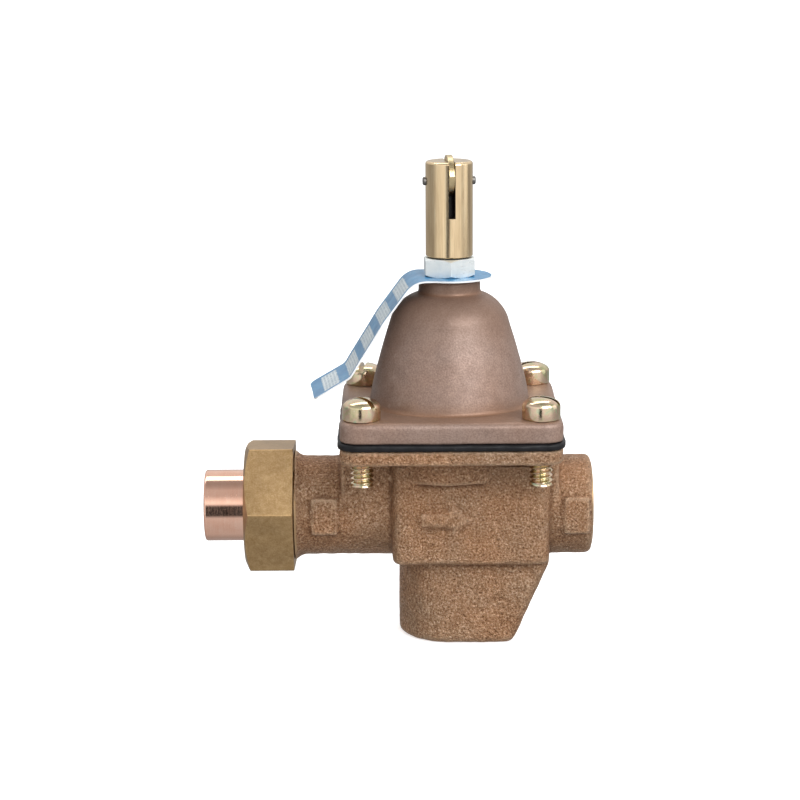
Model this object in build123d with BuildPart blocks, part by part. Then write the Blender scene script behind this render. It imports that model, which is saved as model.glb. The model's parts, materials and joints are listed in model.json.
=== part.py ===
from build123d import *

# Feed-water pressure reducing valve, half-inch union inlet and half-inch threaded outlet.
#
# The origin is the centre of the outlet face. +X points out of the outlet, +Z up the stem.
# Heights are counted from the flow axis. Names that end in left or right are distances along
# the flow from the stem axis, and names that end in _r are radii.

import os
from math import atan2, cos, degrees, hypot, pi, radians, sin, tan

os.makedirs("parts", exist_ok=True)

# ---------------------------------------------------------------- driving dimensions (mm)

stem_x = -37.1              # stem axis, seen from the outlet face
run = 0.05                  # radial clearance of a shaft in its hole
overlap = 1.0               # how far a form runs on into the one that it joins

# body casting
flange_side = 56.4
flange_corner_r = 4.5
body_flange_low = 16.8
body_flange_top = 20.8
chamber_ring_r = 19.7
chamber_ring_low = 9.6
pipe_r = 13.0
passage_half_width = 12.9
passage_left = -28.3
passage_right = 28.0
block_left = -15.1
block_right = 25.5
block_half_depth = 16.5
block_low = -12.35
block_top = 14.0
boss_r = 13.35
boss_low = -34.4
boss_right_low = 16.2       # right end of the boss at its foot
boss_reach = 4.0            # the boss runs this far up into the block
boss_right_high = 25.6      # and where it meets the block
outlet_bore_r = 9.7         # half-inch taper pipe thread, tapped
outlet_bore_depth = 16.0
outlet_rim_round = 1.9      # rounded edge of the outlet's end
union_shoulder_r = 14.45    # collar that the union nut screws up to
union_shoulder_left = -40.5
union_flare_left = -40.2    # hollow curve from the collar down to the pipe
union_flare_right = -37.6
union_thread_r = 13.2
union_thread_left = -47.7
union_thread_chamfer = 0.7
union_relief = 0.9          # groove between the thread and the collar
pad_face = 13.6             # wrench pads stand proud of the round hubs
pad_half_height = 4.9
inlet_pad_left = -36.0
outlet_pad_left = 29.3
pad_length = 6.6
boss_side_round = 3.0       # upright edges of the boss's sloping end
boss_foot_round = 1.8
block_corner_r = 3.0
block_foot_round = 1.2
flange_foot_round = 0.8
arrow_tail = -7.7           # flow arrow on the front of the block
arrow_neck = 0.3
arrow_tip = 5.3
arrow_shaft_half = 1.85
arrow_head_half = 3.8
arrow_height = 0.95
arrow_sunk = 0.4

# water ways in the body
chamber_r = 17.5
chamber_low = 12.0
throat_r = 11.0
seat_shelf = 3.0            # upper face of the wall that holds the seat
seat_shelf_low = -1.0
well_r = 10.5
well_low = -30.5
seat_thread_r = 7.95
outlet_way_r = 8.0
outlet_way_end = 14.5
inlet_way_r = 7.5
inlet_way_end = -13.5
check_bore_r = 9.0
check_bore_end = -33.7
sump_low_right = 12.8       # hollow of the boss beyond the strainer's well
sump_high_right = 20.0
sump_top = -15.35
sump_half_width = 8.5
outlet_window_left = 8.0    # way out of the throat
outlet_window_width = 12.0
inlet_window_left = -15.5   # way down into the well
inlet_window_right = -9.0
inlet_window_width = 11.0

# bonnet
bonnet_flange_low = 22.5
bonnet_flange_top = 27.9
bonnet_edge_round = 1.6
bonnet_base_r = 20.9
bonnet_waist_r = 18.45
bonnet_waist_z = 38.8
bonnet_shoulder_r = 15.5
bonnet_shoulder_z = 49.0
bonnet_turn_r = 13.6        # middle of the rounded shoulder
bonnet_turn_z = 53.0
bonnet_crown_r = 10.0       # inner end of the rounded shoulder
bonnet_crown_z = 55.9
bonnet_neck_r = 8.0
bonnet_neck_chamfer = 0.8
bonnet_neck_low = 56.6
bonnet_top = 60.5
bonnet_roof = 54.0
cavity_top_r = 9.0
cavity_turn_r = 11.3
cavity_turn_z = 52.0
cavity_waist_r = 12.4
shank_r = 3.95              # M8 thread of the adjusting screw

# cover screws
screw_pitch_x = 45.2
screw_pitch_y = 44.8
screw_r = 2.95
screw_head_r = 4.87
screw_head_edge = 31.4
screw_head_round = 0.45
screw_head_top = 33.5
screw_slot_width = 1.4
screw_slot_low = 31.6
screw_end = 10.6
screw_point_r = 1.95
screw_point_z = 11.9
screw_hole_r = 3.3

# diaphragm assembly
travel = 2.5                # open to closed
diaphragm_half = 28.9
diaphragm_thick = 1.7
diaphragm_drop = 2.9        # the middle hangs below the clamped rim when the valve is open
diaphragm_centre_r = 13.5
diaphragm_slope_r = 16.8
plate_thick = 1.7
lower_plate_r = 12.5
pressure_plate_r = 13.0
pressure_plate_rim = 1.4
pressure_plate_wall = 2.2   # how far its rim stands up round the spring
stem_r = 2.0
stem_foot = -27.0
stem_top = 27.6
stem_chamfer = 0.5
stem_collar_r = 3.0         # under the disc holder
stem_collar_height = 1.6
stem_shoulder_r = 3.2       # under the diaphragm plates
stem_shoulder_height = 1.4
stem_nut_flats = 8.0
stem_nut_height = 3.4

# seat and strainer
orifice_r = 4.0
lip_r = 5.2
lip_low = -2.5
disc_top = lip_low - travel - 0.02
disc_r = 5.6
disc_thick = 2.0
holder_r = 6.2
holder_low = -9.0
holder_rim_drop = 0.4       # the disc stands proud of the holder's rim
seat_flange_r = 9.6
seat_flange_thick = 2.0
seat_ring_thick = 0.6
seat_hexagon = 10.0         # key socket, across flats
seat_socket_low = 1.5
guide_plate_top = -20.0
guide_plate_thick = 1.8
guide_ring_height = 2.0
guide_wall = 1.6
guide_spoke_width = 2.4
guide_hub_r = 4.6
screen_hole_r = 1.3
screen_holes_round = 6
screen_row_step = 4.4
screen_r = 8.8
screen_wall = 0.4

# adjusting screw, lever and rod
sleeve_r = 6.1
sleeve_low = 66.0
sleeve_top = 90.5
sleeve_slot_low = 76.2
sleeve_slot_width = 1.8
sleeve_turn = 6.0           # degrees that the slot's front end is turned to the right
sleeve_rim_round = 0.8
sleeve_foot_chamfer = 0.3
rod_hole_top = 83.15
screw_nose = 51.2
screw_nose_chamfer = 0.6
pin_z = 85.35
pin_r = 1.1
pin_half_length = 6.8
pin_chamfer = 0.25
pin_fit = 0.03              # radial, pressed in the sleeve
pin_play = 0.06             # radial, loose in the lever
lever_thick = 1.6
lever_edge_round = 0.2
cam_low = 3.68              # pin to rod with the lever down
cam_high = 6.38             # pin to rod with the lever lifted
cam_gap = 0.03
rod_r = 1.9
washer_thick = 1.0
button_thick = 2.6
button_r = 10.2
button_round = 0.8
button_pilot_r = 7.4        # centres the main spring
button_pilot_height = 2.4
main_spring_r = 9.2
main_spring_wire_r = 1.2
bottom_spring_r = 3.9
bottom_spring_wire_r = 0.4
spring_turns = 5
thrust_washer_r = 5.6

# lock nut and tag
nut_flats = 12.7
nut_turn = 32.5             # degrees from the flow axis to the nut's first corner
nut_edge_round = 0.2
nut_chamfer_angle = 30
nut_gap = 0.3               # between the nut and the sleeve
tag_thick = 0.5
tag_r = 11.0
tag_half_width = 10.0
tag_bend = 10.0             # distance out at which the strap bends down
tag_knee = (17.5, 50.6)     # distance out and height of its other bends and its end
tag_heel = (26.3, 36.3)
tag_end = (35.6, 30.8)
tag_bend_radii = [6.0, 22.0, 3.5]
tag_hole_gap = 0.15
tag_turn = 5.0              # degrees that the strap swings to the front

# union
union_left = -53.5
union_right = -40.7
union_flats = 32.0
union_turn = 24.8           # degrees from straight up to the nut's first corner
union_edge_round = 0.9      # drawn corners of the hexagon bar
union_chamfer_in = 0.9      # left chamfer, from the flats inwards
union_chamfer_long = 1.5
union_right_chamfer = 0.4
union_thread_lead = 0.7     # chamfer at the mouth of the nut's thread
union_tail_gap = 0.15       # round the tailpiece
collar_r = 12.6             # tailpiece's flange, held by the nut
collar_left = -51.2
collar_right = -49.2
tail_r = 9.35
tail_left = -64.15
cup_r = 8.0                 # takes half-inch nominal copper tube
cup_depth = 12.7
cup_stop = 0.8              # height of the step that the tube stops against
tail_rim_round = 0.6
gasket_r = 12.4
gasket_hole_r = 7.6

# inlet check valve
check_seat_r = 4.6
check_seat_thick = 2.0
check_cage_r = 6.8
check_spider_thick = 2.0
check_hub_r = 2.6
check_arm_width = 1.6
check_stem_r = 1.2
check_disc_r = 5.9
check_nose_r = 2.2
check_nose_length = 0.6
check_disc_thick = 1.5
check_seal_thick = 0.8
check_stem_proud = 1.2
check_spring_r = 1.9
check_spring_wire_r = 0.25
groove_left = -41.0
groove_width = 1.2
groove_depth = 1.1
o_ring_wire_r = 0.5

# ---------------------------------------------------------------- frames and helpers

stem_axis = Axis((stem_x, 0, 0), (0, 0, 1))
section = Plane(origin=(stem_x, 0, 0), x_dir=(1, 0, 0), z_dir=(0, -1, 0))


def level(z):
    """Horizontal plane at height z, centred on the stem axis."""
    return Plane((stem_x, 0, z))


def across(x):
    """Plane across the flow axis, its local x to the rear and its local y up."""
    return Plane(origin=(stem_x + x, 0, 0), x_dir=(0, 1, 0), z_dir=(1, 0, 0))


def hexagon_corner_r(flats):
    return flats / 2 / cos(radians(30))


def save(piece, label):
    piece.label = label
    export_step(piece, f"parts/{label}.step")


def washer(low, high, outer_r, inner_r):
    """Flat ring round the stem axis."""
    with BuildPart() as ring:
        with BuildSketch(level(low)):
            Circle(outer_r)
            Circle(inner_r, mode=Mode.SUBTRACT)
        extrude(amount=high - low)
    return ring.part


def flow_ring(left, right, outer_r, inner_r):
    """Flat ring round the flow axis."""
    with BuildPart() as ring:
        with BuildSketch(across(left)):
            Circle(outer_r)
            Circle(inner_r, mode=Mode.SUBTRACT)
        extrude(amount=right - left)
    return ring.part


def coil_spring(base, length, mean_r, wire_r, turns):
    """Open coil spring that stands on the plane base and fills the given length."""
    rise = length - 2 * wire_r
    with BuildPart() as spring:
        with BuildLine(base.offset(wire_r)) as path:
            Helix(pitch=rise / turns, height=rise, radius=mean_r, direction=base.z_dir)
        with BuildSketch(Plane(origin=path.line @ 0, z_dir=path.line % 0)):
            Circle(wire_r)
        sweep(path=path.line, is_frenet=True)
    return spring.part


# ---------------------------------------------------------------- body casting

with BuildPart() as lower_boss:
    with BuildSketch(section):
        with BuildLine():
            Polyline(
                (-boss_r, boss_low),
                (boss_right_low, boss_low),
                (boss_right_high, block_low - overlap),
                (boss_right_high, block_low + boss_reach),
                (-boss_r, block_low + boss_reach),
                close=True,
            )
        make_face()
    extrude(amount=boss_r, both=True)
    with BuildSketch(level(boss_low)):
        Circle(boss_r)
        with Locations(((boss_right_high + overlap) / 2, 0)):
            Rectangle(boss_right_high + overlap, 2 * boss_r)
    extrude(amount=block_low + boss_reach - boss_low, mode=Mode.INTERSECT)
    slanted = lower_boss.faces().filter_by(lambda f: f.normal_at().X > 0.5 and f.normal_at().Z < -0.2)
    fillet(slanted.edges().filter_by(lambda e: abs((e @ 0).Z - (e @ 1).Z) > 5), radius=boss_side_round)
    fillet(lower_boss.faces().sort_by(Axis.Z)[0].edges(), radius=boss_foot_round)

with BuildPart() as block:
    with BuildSketch(level(block_low)):
        with Locations(((block_left + block_right) / 2, 0)):
            RectangleRounded(block_right - block_left, 2 * block_half_depth, block_corner_r)
    extrude(amount=block_top - block_low)
    fillet(block.faces().sort_by(Axis.Z)[0].edges(), radius=block_foot_round)

arrow_base = Plane(origin=(stem_x, -block_half_depth + arrow_sunk, 0), x_dir=(1, 0, 0), z_dir=(0, -1, 0))
with BuildPart() as arrow:
    with BuildSketch(arrow_base):
        with BuildLine():
            Polyline(
                (arrow_tail, -arrow_shaft_half),
                (arrow_neck, -arrow_shaft_half),
                (arrow_neck, -arrow_head_half),
                (arrow_tip, 0),
                (arrow_neck, arrow_head_half),
                (arrow_neck, arrow_shaft_half),
                (arrow_tail, arrow_shaft_half),
                close=True,
            )
        make_face()
    extrude(amount=arrow_height + arrow_sunk)

# the flare ends level with the pipe
flare_rise = union_shoulder_r - pipe_r
flare_run = union_flare_right - union_flare_left
flare_r = (flare_run**2 + flare_rise**2) / (2 * flare_rise)

with BuildPart() as hubs:
    with BuildSketch(section):
        with BuildLine():
            Polyline(
                (union_thread_left, 0),
                (union_thread_left, union_thread_r - union_thread_chamfer),
                (union_thread_left + union_thread_chamfer, union_thread_r),
                (union_shoulder_left - union_relief, union_thread_r),
                (union_shoulder_left - union_relief, union_thread_r - union_relief),
                (union_shoulder_left, union_thread_r - union_relief),
                (union_shoulder_left, union_shoulder_r),
                (union_flare_left, union_shoulder_r),
            )
            RadiusArc((union_flare_left, union_shoulder_r), (union_flare_right, pipe_r), -flare_r)
            Line((union_flare_right, pipe_r), (-stem_x - outlet_rim_round, pipe_r))
            RadiusArc(
                (-stem_x - outlet_rim_round, pipe_r),
                (-stem_x, pipe_r - outlet_rim_round),
                outlet_rim_round,
            )
            Polyline((-stem_x, pipe_r - outlet_rim_round), (-stem_x, 0), (union_thread_left, 0))
        make_face()
    revolve(axis=Axis.X)
    for pad_left in (inlet_pad_left, outlet_pad_left):
        with BuildSketch(across(pad_left)):
            Rectangle(2 * pad_face, 2 * pad_half_height)
        extrude(amount=pad_length)

with BuildPart() as body:
    with BuildSketch(level(body_flange_low)):
        RectangleRounded(flange_side, flange_side, flange_corner_r)
    extrude(amount=body_flange_top - body_flange_low)
    fillet(body.faces().sort_by(Axis.Z)[0].edges(), radius=flange_foot_round)
    with BuildSketch(level(chamber_ring_low)):
        Circle(chamber_ring_r)
    extrude(amount=body_flange_low - chamber_ring_low)
    with BuildSketch(across(passage_left)):
        with Locations((0, body_flange_low / 2)):
            Rectangle(2 * passage_half_width, body_flange_low)
    extrude(amount=passage_right - passage_left)
    add(hubs.part)
    add(block.part)
    add(lower_boss.part)
    add(arrow.part)

    # diaphragm chamber, throat, seat hole and strainer well
    with BuildSketch(level(chamber_low)):
        Circle(chamber_r)
    extrude(amount=body_flange_top - chamber_low, mode=Mode.SUBTRACT)
    with BuildSketch(level(seat_shelf)):
        Circle(throat_r)
    extrude(amount=chamber_low - seat_shelf, mode=Mode.SUBTRACT)
    with BuildSketch(level(seat_shelf_low)):
        Circle(seat_thread_r + run)
    extrude(amount=seat_shelf - seat_shelf_low, mode=Mode.SUBTRACT)
    with BuildSketch(level(well_low)):
        Circle(well_r)
    extrude(amount=seat_shelf_low - well_low, mode=Mode.SUBTRACT)
    with BuildSketch(section):
        with BuildLine():
            Polyline(
                (0, well_low),
                (sump_low_right, well_low),
                (sump_high_right, sump_top),
                (0, sump_top),
                close=True,
            )
        make_face()
    extrude(amount=sump_half_width, both=True, mode=Mode.SUBTRACT)

    # outlet: tapped hole, way and the window into the throat
    with BuildSketch(across(-stem_x - outlet_bore_depth)):
        Circle(outlet_bore_r)
    extrude(amount=outlet_bore_depth, mode=Mode.SUBTRACT)
    with BuildSketch(across(outlet_way_end)):
        Circle(outlet_way_r)
    extrude(amount=-stem_x - outlet_bore_depth - outlet_way_end, mode=Mode.SUBTRACT)
    with BuildSketch(across(outlet_window_left)):
        with Locations((0, (seat_shelf + outlet_way_r) / 2)):
            Rectangle(outlet_window_width, outlet_way_r - seat_shelf)
    extrude(amount=outlet_way_end + overlap - outlet_window_left, mode=Mode.SUBTRACT)

    # inlet: check valve bore, way and the window into the well
    with BuildSketch(across(union_thread_left)):
        Circle(check_bore_r)
    extrude(amount=check_bore_end - union_thread_left, mode=Mode.SUBTRACT)
    with BuildSketch(across(check_bore_end)):
        Circle(inlet_way_r)
    extrude(amount=inlet_way_end - check_bore_end, mode=Mode.SUBTRACT)
    with BuildSketch(across(inlet_window_left)):
        with Locations((0, (seat_shelf_low - inlet_way_r) / 2)):
            Rectangle(inlet_window_width, seat_shelf_low + inlet_way_r)
    extrude(amount=inlet_window_right - inlet_window_left, mode=Mode.SUBTRACT)

    # tapped holes for the cover screws
    with BuildSketch(level(body_flange_low)):
        with GridLocations(screw_pitch_x, screw_pitch_y, 2, 2):
            Circle(screw_r + run)
    extrude(amount=body_flange_top - body_flange_low, mode=Mode.SUBTRACT)
save(body.part, "body")

# ---------------------------------------------------------------- bonnet

with BuildPart() as bell:
    with BuildSketch(section):
        with BuildLine():
            Line((0, bonnet_flange_low), (bonnet_base_r, bonnet_flange_low))
            Line((bonnet_base_r, bonnet_flange_low), (bonnet_base_r, bonnet_flange_top))
            ThreePointArc(
                (bonnet_base_r, bonnet_flange_top),
                (bonnet_waist_r, bonnet_waist_z),
                (bonnet_shoulder_r, bonnet_shoulder_z),
            )
            ThreePointArc(
                (bonnet_shoulder_r, bonnet_shoulder_z),
                (bonnet_turn_r, bonnet_turn_z),
                (bonnet_crown_r, bonnet_crown_z),
            )
            Polyline(
                (bonnet_crown_r, bonnet_crown_z),
                (bonnet_neck_r, bonnet_neck_low),
                (bonnet_neck_r, bonnet_top - bonnet_neck_chamfer),
                (bonnet_neck_r - bonnet_neck_chamfer, bonnet_top),
                (0, bonnet_top),
                (0, bonnet_flange_low),
            )
        make_face()
    revolve(axis=stem_axis)

with BuildPart() as bonnet:
    with BuildSketch(level(bonnet_flange_low)):
        RectangleRounded(flange_side, flange_side, flange_corner_r)
    extrude(amount=bonnet_flange_top - bonnet_flange_low)
    fillet(bonnet.faces().sort_by(Axis.Z)[-1].edges(), radius=bonnet_edge_round)
    add(bell.part)
    with BuildSketch(section):
        with BuildLine():
            Polyline(
                (0, bonnet_flange_low),
                (chamber_r, bonnet_flange_low),
                (chamber_r - 0.3, bonnet_flange_top),
                (cavity_waist_r, bonnet_shoulder_z),
                (cavity_turn_r, cavity_turn_z),
                (cavity_top_r, bonnet_roof),
                (0, bonnet_roof),
                close=True,
            )
        make_face()
    revolve(axis=stem_axis, mode=Mode.SUBTRACT)
    with BuildSketch(level(bonnet_roof)):
        Circle(shank_r + run)
    extrude(amount=bonnet_top - bonnet_roof, mode=Mode.SUBTRACT)
    with BuildSketch(level(bonnet_flange_low)):
        with GridLocations(screw_pitch_x, screw_pitch_y, 2, 2):
            Circle(screw_hole_r)
    extrude(amount=bonnet_flange_top - bonnet_flange_low, mode=Mode.SUBTRACT)
save(bonnet.part, "bonnet")

# ---------------------------------------------------------------- cover screws

slot_angles = {
    "front_left": -52,
    "front_right": -20,
    "rear_left": 80,
    "rear_right": 25,
}
corners = {
    "front_left": (-1, -1),
    "front_right": (1, -1),
    "rear_left": (-1, 1),
    "rear_right": (1, 1),
}

dome_rise = screw_head_top - screw_head_edge
dome_r = (screw_head_r**2 + dome_rise**2) / (2 * dome_rise)

for corner, (side_x, side_y) in corners.items():
    screw_x = stem_x + side_x * screw_pitch_x / 2
    screw_y = side_y * screw_pitch_y / 2
    upright = Plane(origin=(screw_x, screw_y, 0), x_dir=(1, 0, 0), z_dir=(0, -1, 0))
    with BuildPart() as cover_screw:
        with BuildSketch(upright):
            with BuildLine():
                Polyline(
                    (0, screw_end),
                    (screw_point_r, screw_end),
                    (screw_r, screw_point_z),
                    (screw_r, bonnet_flange_top),
                    (screw_head_r, bonnet_flange_top),
                    (screw_head_r, screw_head_edge),
                )
                RadiusArc((screw_head_r, screw_head_edge), (0, screw_head_top), -dome_r)
                Line((0, screw_head_top), (0, screw_end))
            make_face()
        revolve(axis=Axis((screw_x, screw_y, 0), (0, 0, 1)))
        rim = cover_screw.edges().filter_by(GeomType.CIRCLE).filter_by_position(
            Axis.Z, screw_head_edge - 0.01, screw_head_edge + 0.01
        )
        fillet(rim, radius=screw_head_round)
        with BuildSketch(Plane((screw_x, screw_y, screw_slot_low))):
            Rectangle(2 * screw_head_r + overlap, screw_slot_width, rotation=slot_angles[corner])
        extrude(amount=screw_head_top - screw_slot_low, mode=Mode.SUBTRACT)
    save(cover_screw.part, f"cover_screw_{corner}")

# ---------------------------------------------------------------- diaphragm and its plates

diaphragm_low = body_flange_top - diaphragm_drop
diaphragm_mid = diaphragm_low + diaphragm_thick

with BuildPart() as diaphragm:
    with BuildSketch(level(body_flange_top)):
        RectangleRounded(2 * diaphragm_half, 2 * diaphragm_half, flange_corner_r + 0.7)
        Circle(diaphragm_slope_r, mode=Mode.SUBTRACT)
        with GridLocations(screw_pitch_x, screw_pitch_y, 2, 2):
            Circle(screw_hole_r, mode=Mode.SUBTRACT)
    extrude(amount=diaphragm_thick)
    with BuildSketch(section):
        with BuildLine():
            Polyline(
                (stem_r + run, diaphragm_low),
                (diaphragm_centre_r, diaphragm_low),
                (diaphragm_slope_r, body_flange_top),
                (diaphragm_slope_r, bonnet_flange_low),
                (diaphragm_centre_r, diaphragm_mid),
                (stem_r + run, diaphragm_mid),
                close=True,
            )
        make_face()
    revolve(axis=stem_axis)
save(diaphragm.part, "diaphragm")

lower_plate_low = diaphragm_low - plate_thick
save(washer(lower_plate_low, diaphragm_low, lower_plate_r, stem_r + run), "lower_diaphragm_plate")

pressure_plate_top = diaphragm_mid + plate_thick
with BuildPart() as pressure_plate:
    with BuildSketch(level(diaphragm_mid)):
        Circle(pressure_plate_r)
    extrude(amount=plate_thick + pressure_plate_wall)
    with BuildSketch(level(pressure_plate_top)):
        Circle(pressure_plate_r - pressure_plate_rim)
    extrude(amount=pressure_plate_wall, mode=Mode.SUBTRACT)
    with BuildSketch(level(diaphragm_mid)):
        Circle(stem_r + run)
    extrude(amount=plate_thick, mode=Mode.SUBTRACT)
save(pressure_plate.part, "pressure_plate")

with BuildPart() as stem_nut:
    with BuildSketch(level(pressure_plate_top)):
        RegularPolygon(hexagon_corner_r(stem_nut_flats), 6)
        Circle(stem_r + run, mode=Mode.SUBTRACT)
    extrude(amount=stem_nut_height)
save(stem_nut.part, "stem_nut")

with BuildPart() as valve_stem:
    with BuildSketch(section):
        with BuildLine():
            Polyline(
                (0, stem_foot),
                (stem_r - stem_chamfer, stem_foot),
                (stem_r, stem_foot + stem_chamfer),
                (stem_r, holder_low - stem_collar_height),
                (stem_collar_r, holder_low - stem_collar_height),
                (stem_collar_r, holder_low),
                (stem_r, holder_low),
                (stem_r, lower_plate_low - stem_shoulder_height),
                (stem_shoulder_r, lower_plate_low - stem_shoulder_height),
                (stem_shoulder_r, lower_plate_low),
                (stem_r, lower_plate_low),
                (stem_r, stem_top - stem_chamfer),
                (stem_r - stem_chamfer, stem_top),
                (0, stem_top),
                close=True,
            )
        make_face()
    revolve(axis=stem_axis)
save(valve_stem.part, "valve_stem")

# ---------------------------------------------------------------- disc, seat, guide and strainer

with BuildPart() as disc_holder:
    with BuildSketch(level(holder_low)):
        Circle(holder_r)
    extrude(amount=disc_top - holder_rim_drop - holder_low)
    with BuildSketch(level(disc_top - disc_thick)):
        Circle(disc_r)
    extrude(amount=disc_thick, mode=Mode.SUBTRACT)
    with BuildSketch(level(holder_low)):
        Circle(stem_r + run)
    extrude(amount=disc_top - holder_low, mode=Mode.SUBTRACT)
save(disc_holder.part, "disc_holder")

save(washer(disc_top - disc_thick, disc_top, disc_r, stem_r + run), "valve_disc")

seal_top = seat_shelf + seat_ring_thick
with BuildPart() as valve_seat:
    with BuildSketch(section):
        with BuildLine():
            Polyline(
                (orifice_r, lip_low),
                (lip_r, lip_low),
                (lip_r + 0.8, seat_shelf_low),
                (seat_thread_r, seat_shelf_low),
                (seat_thread_r, seal_top),
                (seat_flange_r, seal_top),
                (seat_flange_r, seal_top + seat_flange_thick),
                (orifice_r, seal_top + seat_flange_thick),
                close=True,
            )
        make_face()
    revolve(axis=stem_axis)
    with BuildSketch(level(seat_socket_low)):
        RegularPolygon(hexagon_corner_r(seat_hexagon), 6)
    extrude(amount=seal_top + seat_flange_thick - seat_socket_low, mode=Mode.SUBTRACT)
save(valve_seat.part, "valve_seat")

save(washer(seat_shelf, seal_top, seat_flange_r, seat_thread_r + run), "seat_ring")

with BuildPart() as strainer_screen:
    with BuildSketch(level(well_low)):
        Circle(screen_r)
        Circle(screen_r - screen_wall, mode=Mode.SUBTRACT)
    extrude(amount=seat_shelf_low - well_low)
    for row in range(1, 7):
        hub = Plane((stem_x, 0, well_low + row * screen_row_step))
        with Locations(hub):
            with PolarLocations(0, screen_holes_round, start_angle=15 * (row % 2)):
                Cylinder(screen_hole_r, 2 * screen_r + 2, rotation=(0, 90, 0), mode=Mode.SUBTRACT)
save(strainer_screen.part, "strainer_screen")

guide_r = screen_r - screen_wall - run
guide_plate_low = guide_plate_top - guide_plate_thick
guide_ring_top = well_low + guide_ring_height
with BuildPart() as stem_guide:
    with BuildSketch(level(well_low)):
        Circle(guide_r)
        Circle(guide_r - guide_wall, mode=Mode.SUBTRACT)
    extrude(amount=guide_ring_height)
    with BuildSketch(level(guide_plate_low)):
        Circle(guide_r)
        Circle(guide_r - guide_wall, mode=Mode.SUBTRACT)
        Circle(guide_hub_r)
        with PolarLocations(0, 3):
            Rectangle(guide_r - guide_wall / 2, guide_spoke_width, align=(Align.MIN, Align.CENTER))
        Circle(stem_r + run, mode=Mode.SUBTRACT)
    extrude(amount=guide_plate_thick)
    with BuildSketch(level(guide_ring_top)):
        with PolarLocations(guide_r - guide_wall / 2, 3):
            Rectangle(guide_wall - 0.3, guide_spoke_width)
    extrude(amount=guide_plate_low - guide_ring_top)
save(stem_guide.part, "stem_guide")

bottom_spring = coil_spring(
    level(guide_plate_top), holder_low - guide_plate_top, bottom_spring_r, bottom_spring_wire_r, spring_turns
)
save(bottom_spring, "bottom_spring")

# ---------------------------------------------------------------- main spring and its button

washer_low = screw_nose - washer_thick
button_low = washer_low - button_thick

main_spring = coil_spring(
    level(pressure_plate_top),
    button_low - pressure_plate_top,
    main_spring_r,
    main_spring_wire_r,
    spring_turns,
)
save(main_spring, "main_spring")

with BuildPart() as spring_button:
    with BuildSketch(level(button_low)):
        Circle(button_r)
    extrude(amount=button_thick)
    fillet(spring_button.faces().sort_by(Axis.Z)[-1].edges(), radius=button_round)
    with BuildSketch(level(button_low - button_pilot_height)):
        Circle(button_pilot_r)
    extrude(amount=button_pilot_height)
save(spring_button.part, "spring_button")

save(washer(washer_low, screw_nose, thrust_washer_r, rod_r + run), "thrust_washer")

# ---------------------------------------------------------------- adjusting screw

slot_front = Vector(sin(radians(sleeve_turn)), -cos(radians(sleeve_turn)), 0)
pin_direction = Vector(cos(radians(sleeve_turn)), sin(radians(sleeve_turn)), 0)
pin_plane = Plane(origin=(stem_x, 0, pin_z), x_dir=slot_front, z_dir=-pin_direction)

with BuildPart() as adjusting_screw:
    with BuildSketch(section):
        with BuildLine():
            Polyline(
                (0, screw_nose),
                (shank_r - screw_nose_chamfer, screw_nose),
                (shank_r, screw_nose + screw_nose_chamfer),
                (shank_r, sleeve_low),
                (sleeve_r - sleeve_foot_chamfer, sleeve_low),
                (sleeve_r, sleeve_low + sleeve_foot_chamfer),
                (sleeve_r, sleeve_top - sleeve_rim_round),
            )
            RadiusArc(
                (sleeve_r, sleeve_top - sleeve_rim_round),
                (sleeve_r - sleeve_rim_round, sleeve_top),
                -sleeve_rim_round,
            )
            Polyline((sleeve_r - sleeve_rim_round, sleeve_top), (0, sleeve_top), (0, screw_nose))
        make_face()
    revolve(axis=stem_axis)
    with BuildSketch(level(screw_nose)):
        Circle(rod_r + run)
    extrude(amount=rod_hole_top - screw_nose, mode=Mode.SUBTRACT)
    with BuildSketch(level(sleeve_slot_low)):
        Rectangle(sleeve_slot_width, 2 * sleeve_r + overlap, rotation=sleeve_turn)
    extrude(amount=sleeve_top - sleeve_slot_low, mode=Mode.SUBTRACT)
    with BuildSketch(pin_plane):
        Circle(pin_r + pin_fit)
    extrude(amount=sleeve_r + overlap, both=True, mode=Mode.SUBTRACT)
save(adjusting_screw.part, "adjusting_screw")

with BuildPart() as lever_pin:
    with BuildSketch(pin_plane):
        Circle(pin_r)
    extrude(amount=pin_half_length, both=True)
    chamfer(lever_pin.edges().filter_by(GeomType.CIRCLE), length=pin_chamfer)
save(lever_pin.part, "lever_pin")

# ---------------------------------------------------------------- fast-fill lever

# The cam is the involute of a circle of radius cam_rate, so its lowest point falls in
# proportion to the lever's angle while the flat-topped rod follows it.
cam_rate = (cam_high - cam_low) / (pi / 2)


def cam_point(turn):
    """Point of the cam whose tangent faces the rod after the lever has turned so far (degrees)."""
    facing = radians(270 + turn)
    reach = cam_low + cam_rate * radians(turn)
    return (
        reach * cos(facing) - cam_rate * sin(facing),
        reach * sin(facing) + cam_rate * cos(facing),
    )


cam_start = cam_point(0)
cam_end = cam_point(90)
head_r = hypot(*cam_end)
head_start = degrees(atan2(cam_end[1], cam_end[0]))
head_end = 148              # where the round head runs into the handle's back, in degrees
head_last = (head_r * cos(radians(head_end)), head_r * sin(radians(head_end)))
handle_back = [head_last, (-10.6, -2.0), (-12.2, -9.5), (-13.0, -17.2)]
handle_front = [(-8.6, -17.8), (-7.4, -8.5), (-5.2, -cam_low)]
handle_tip = (-11.2, -20.6)

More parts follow.
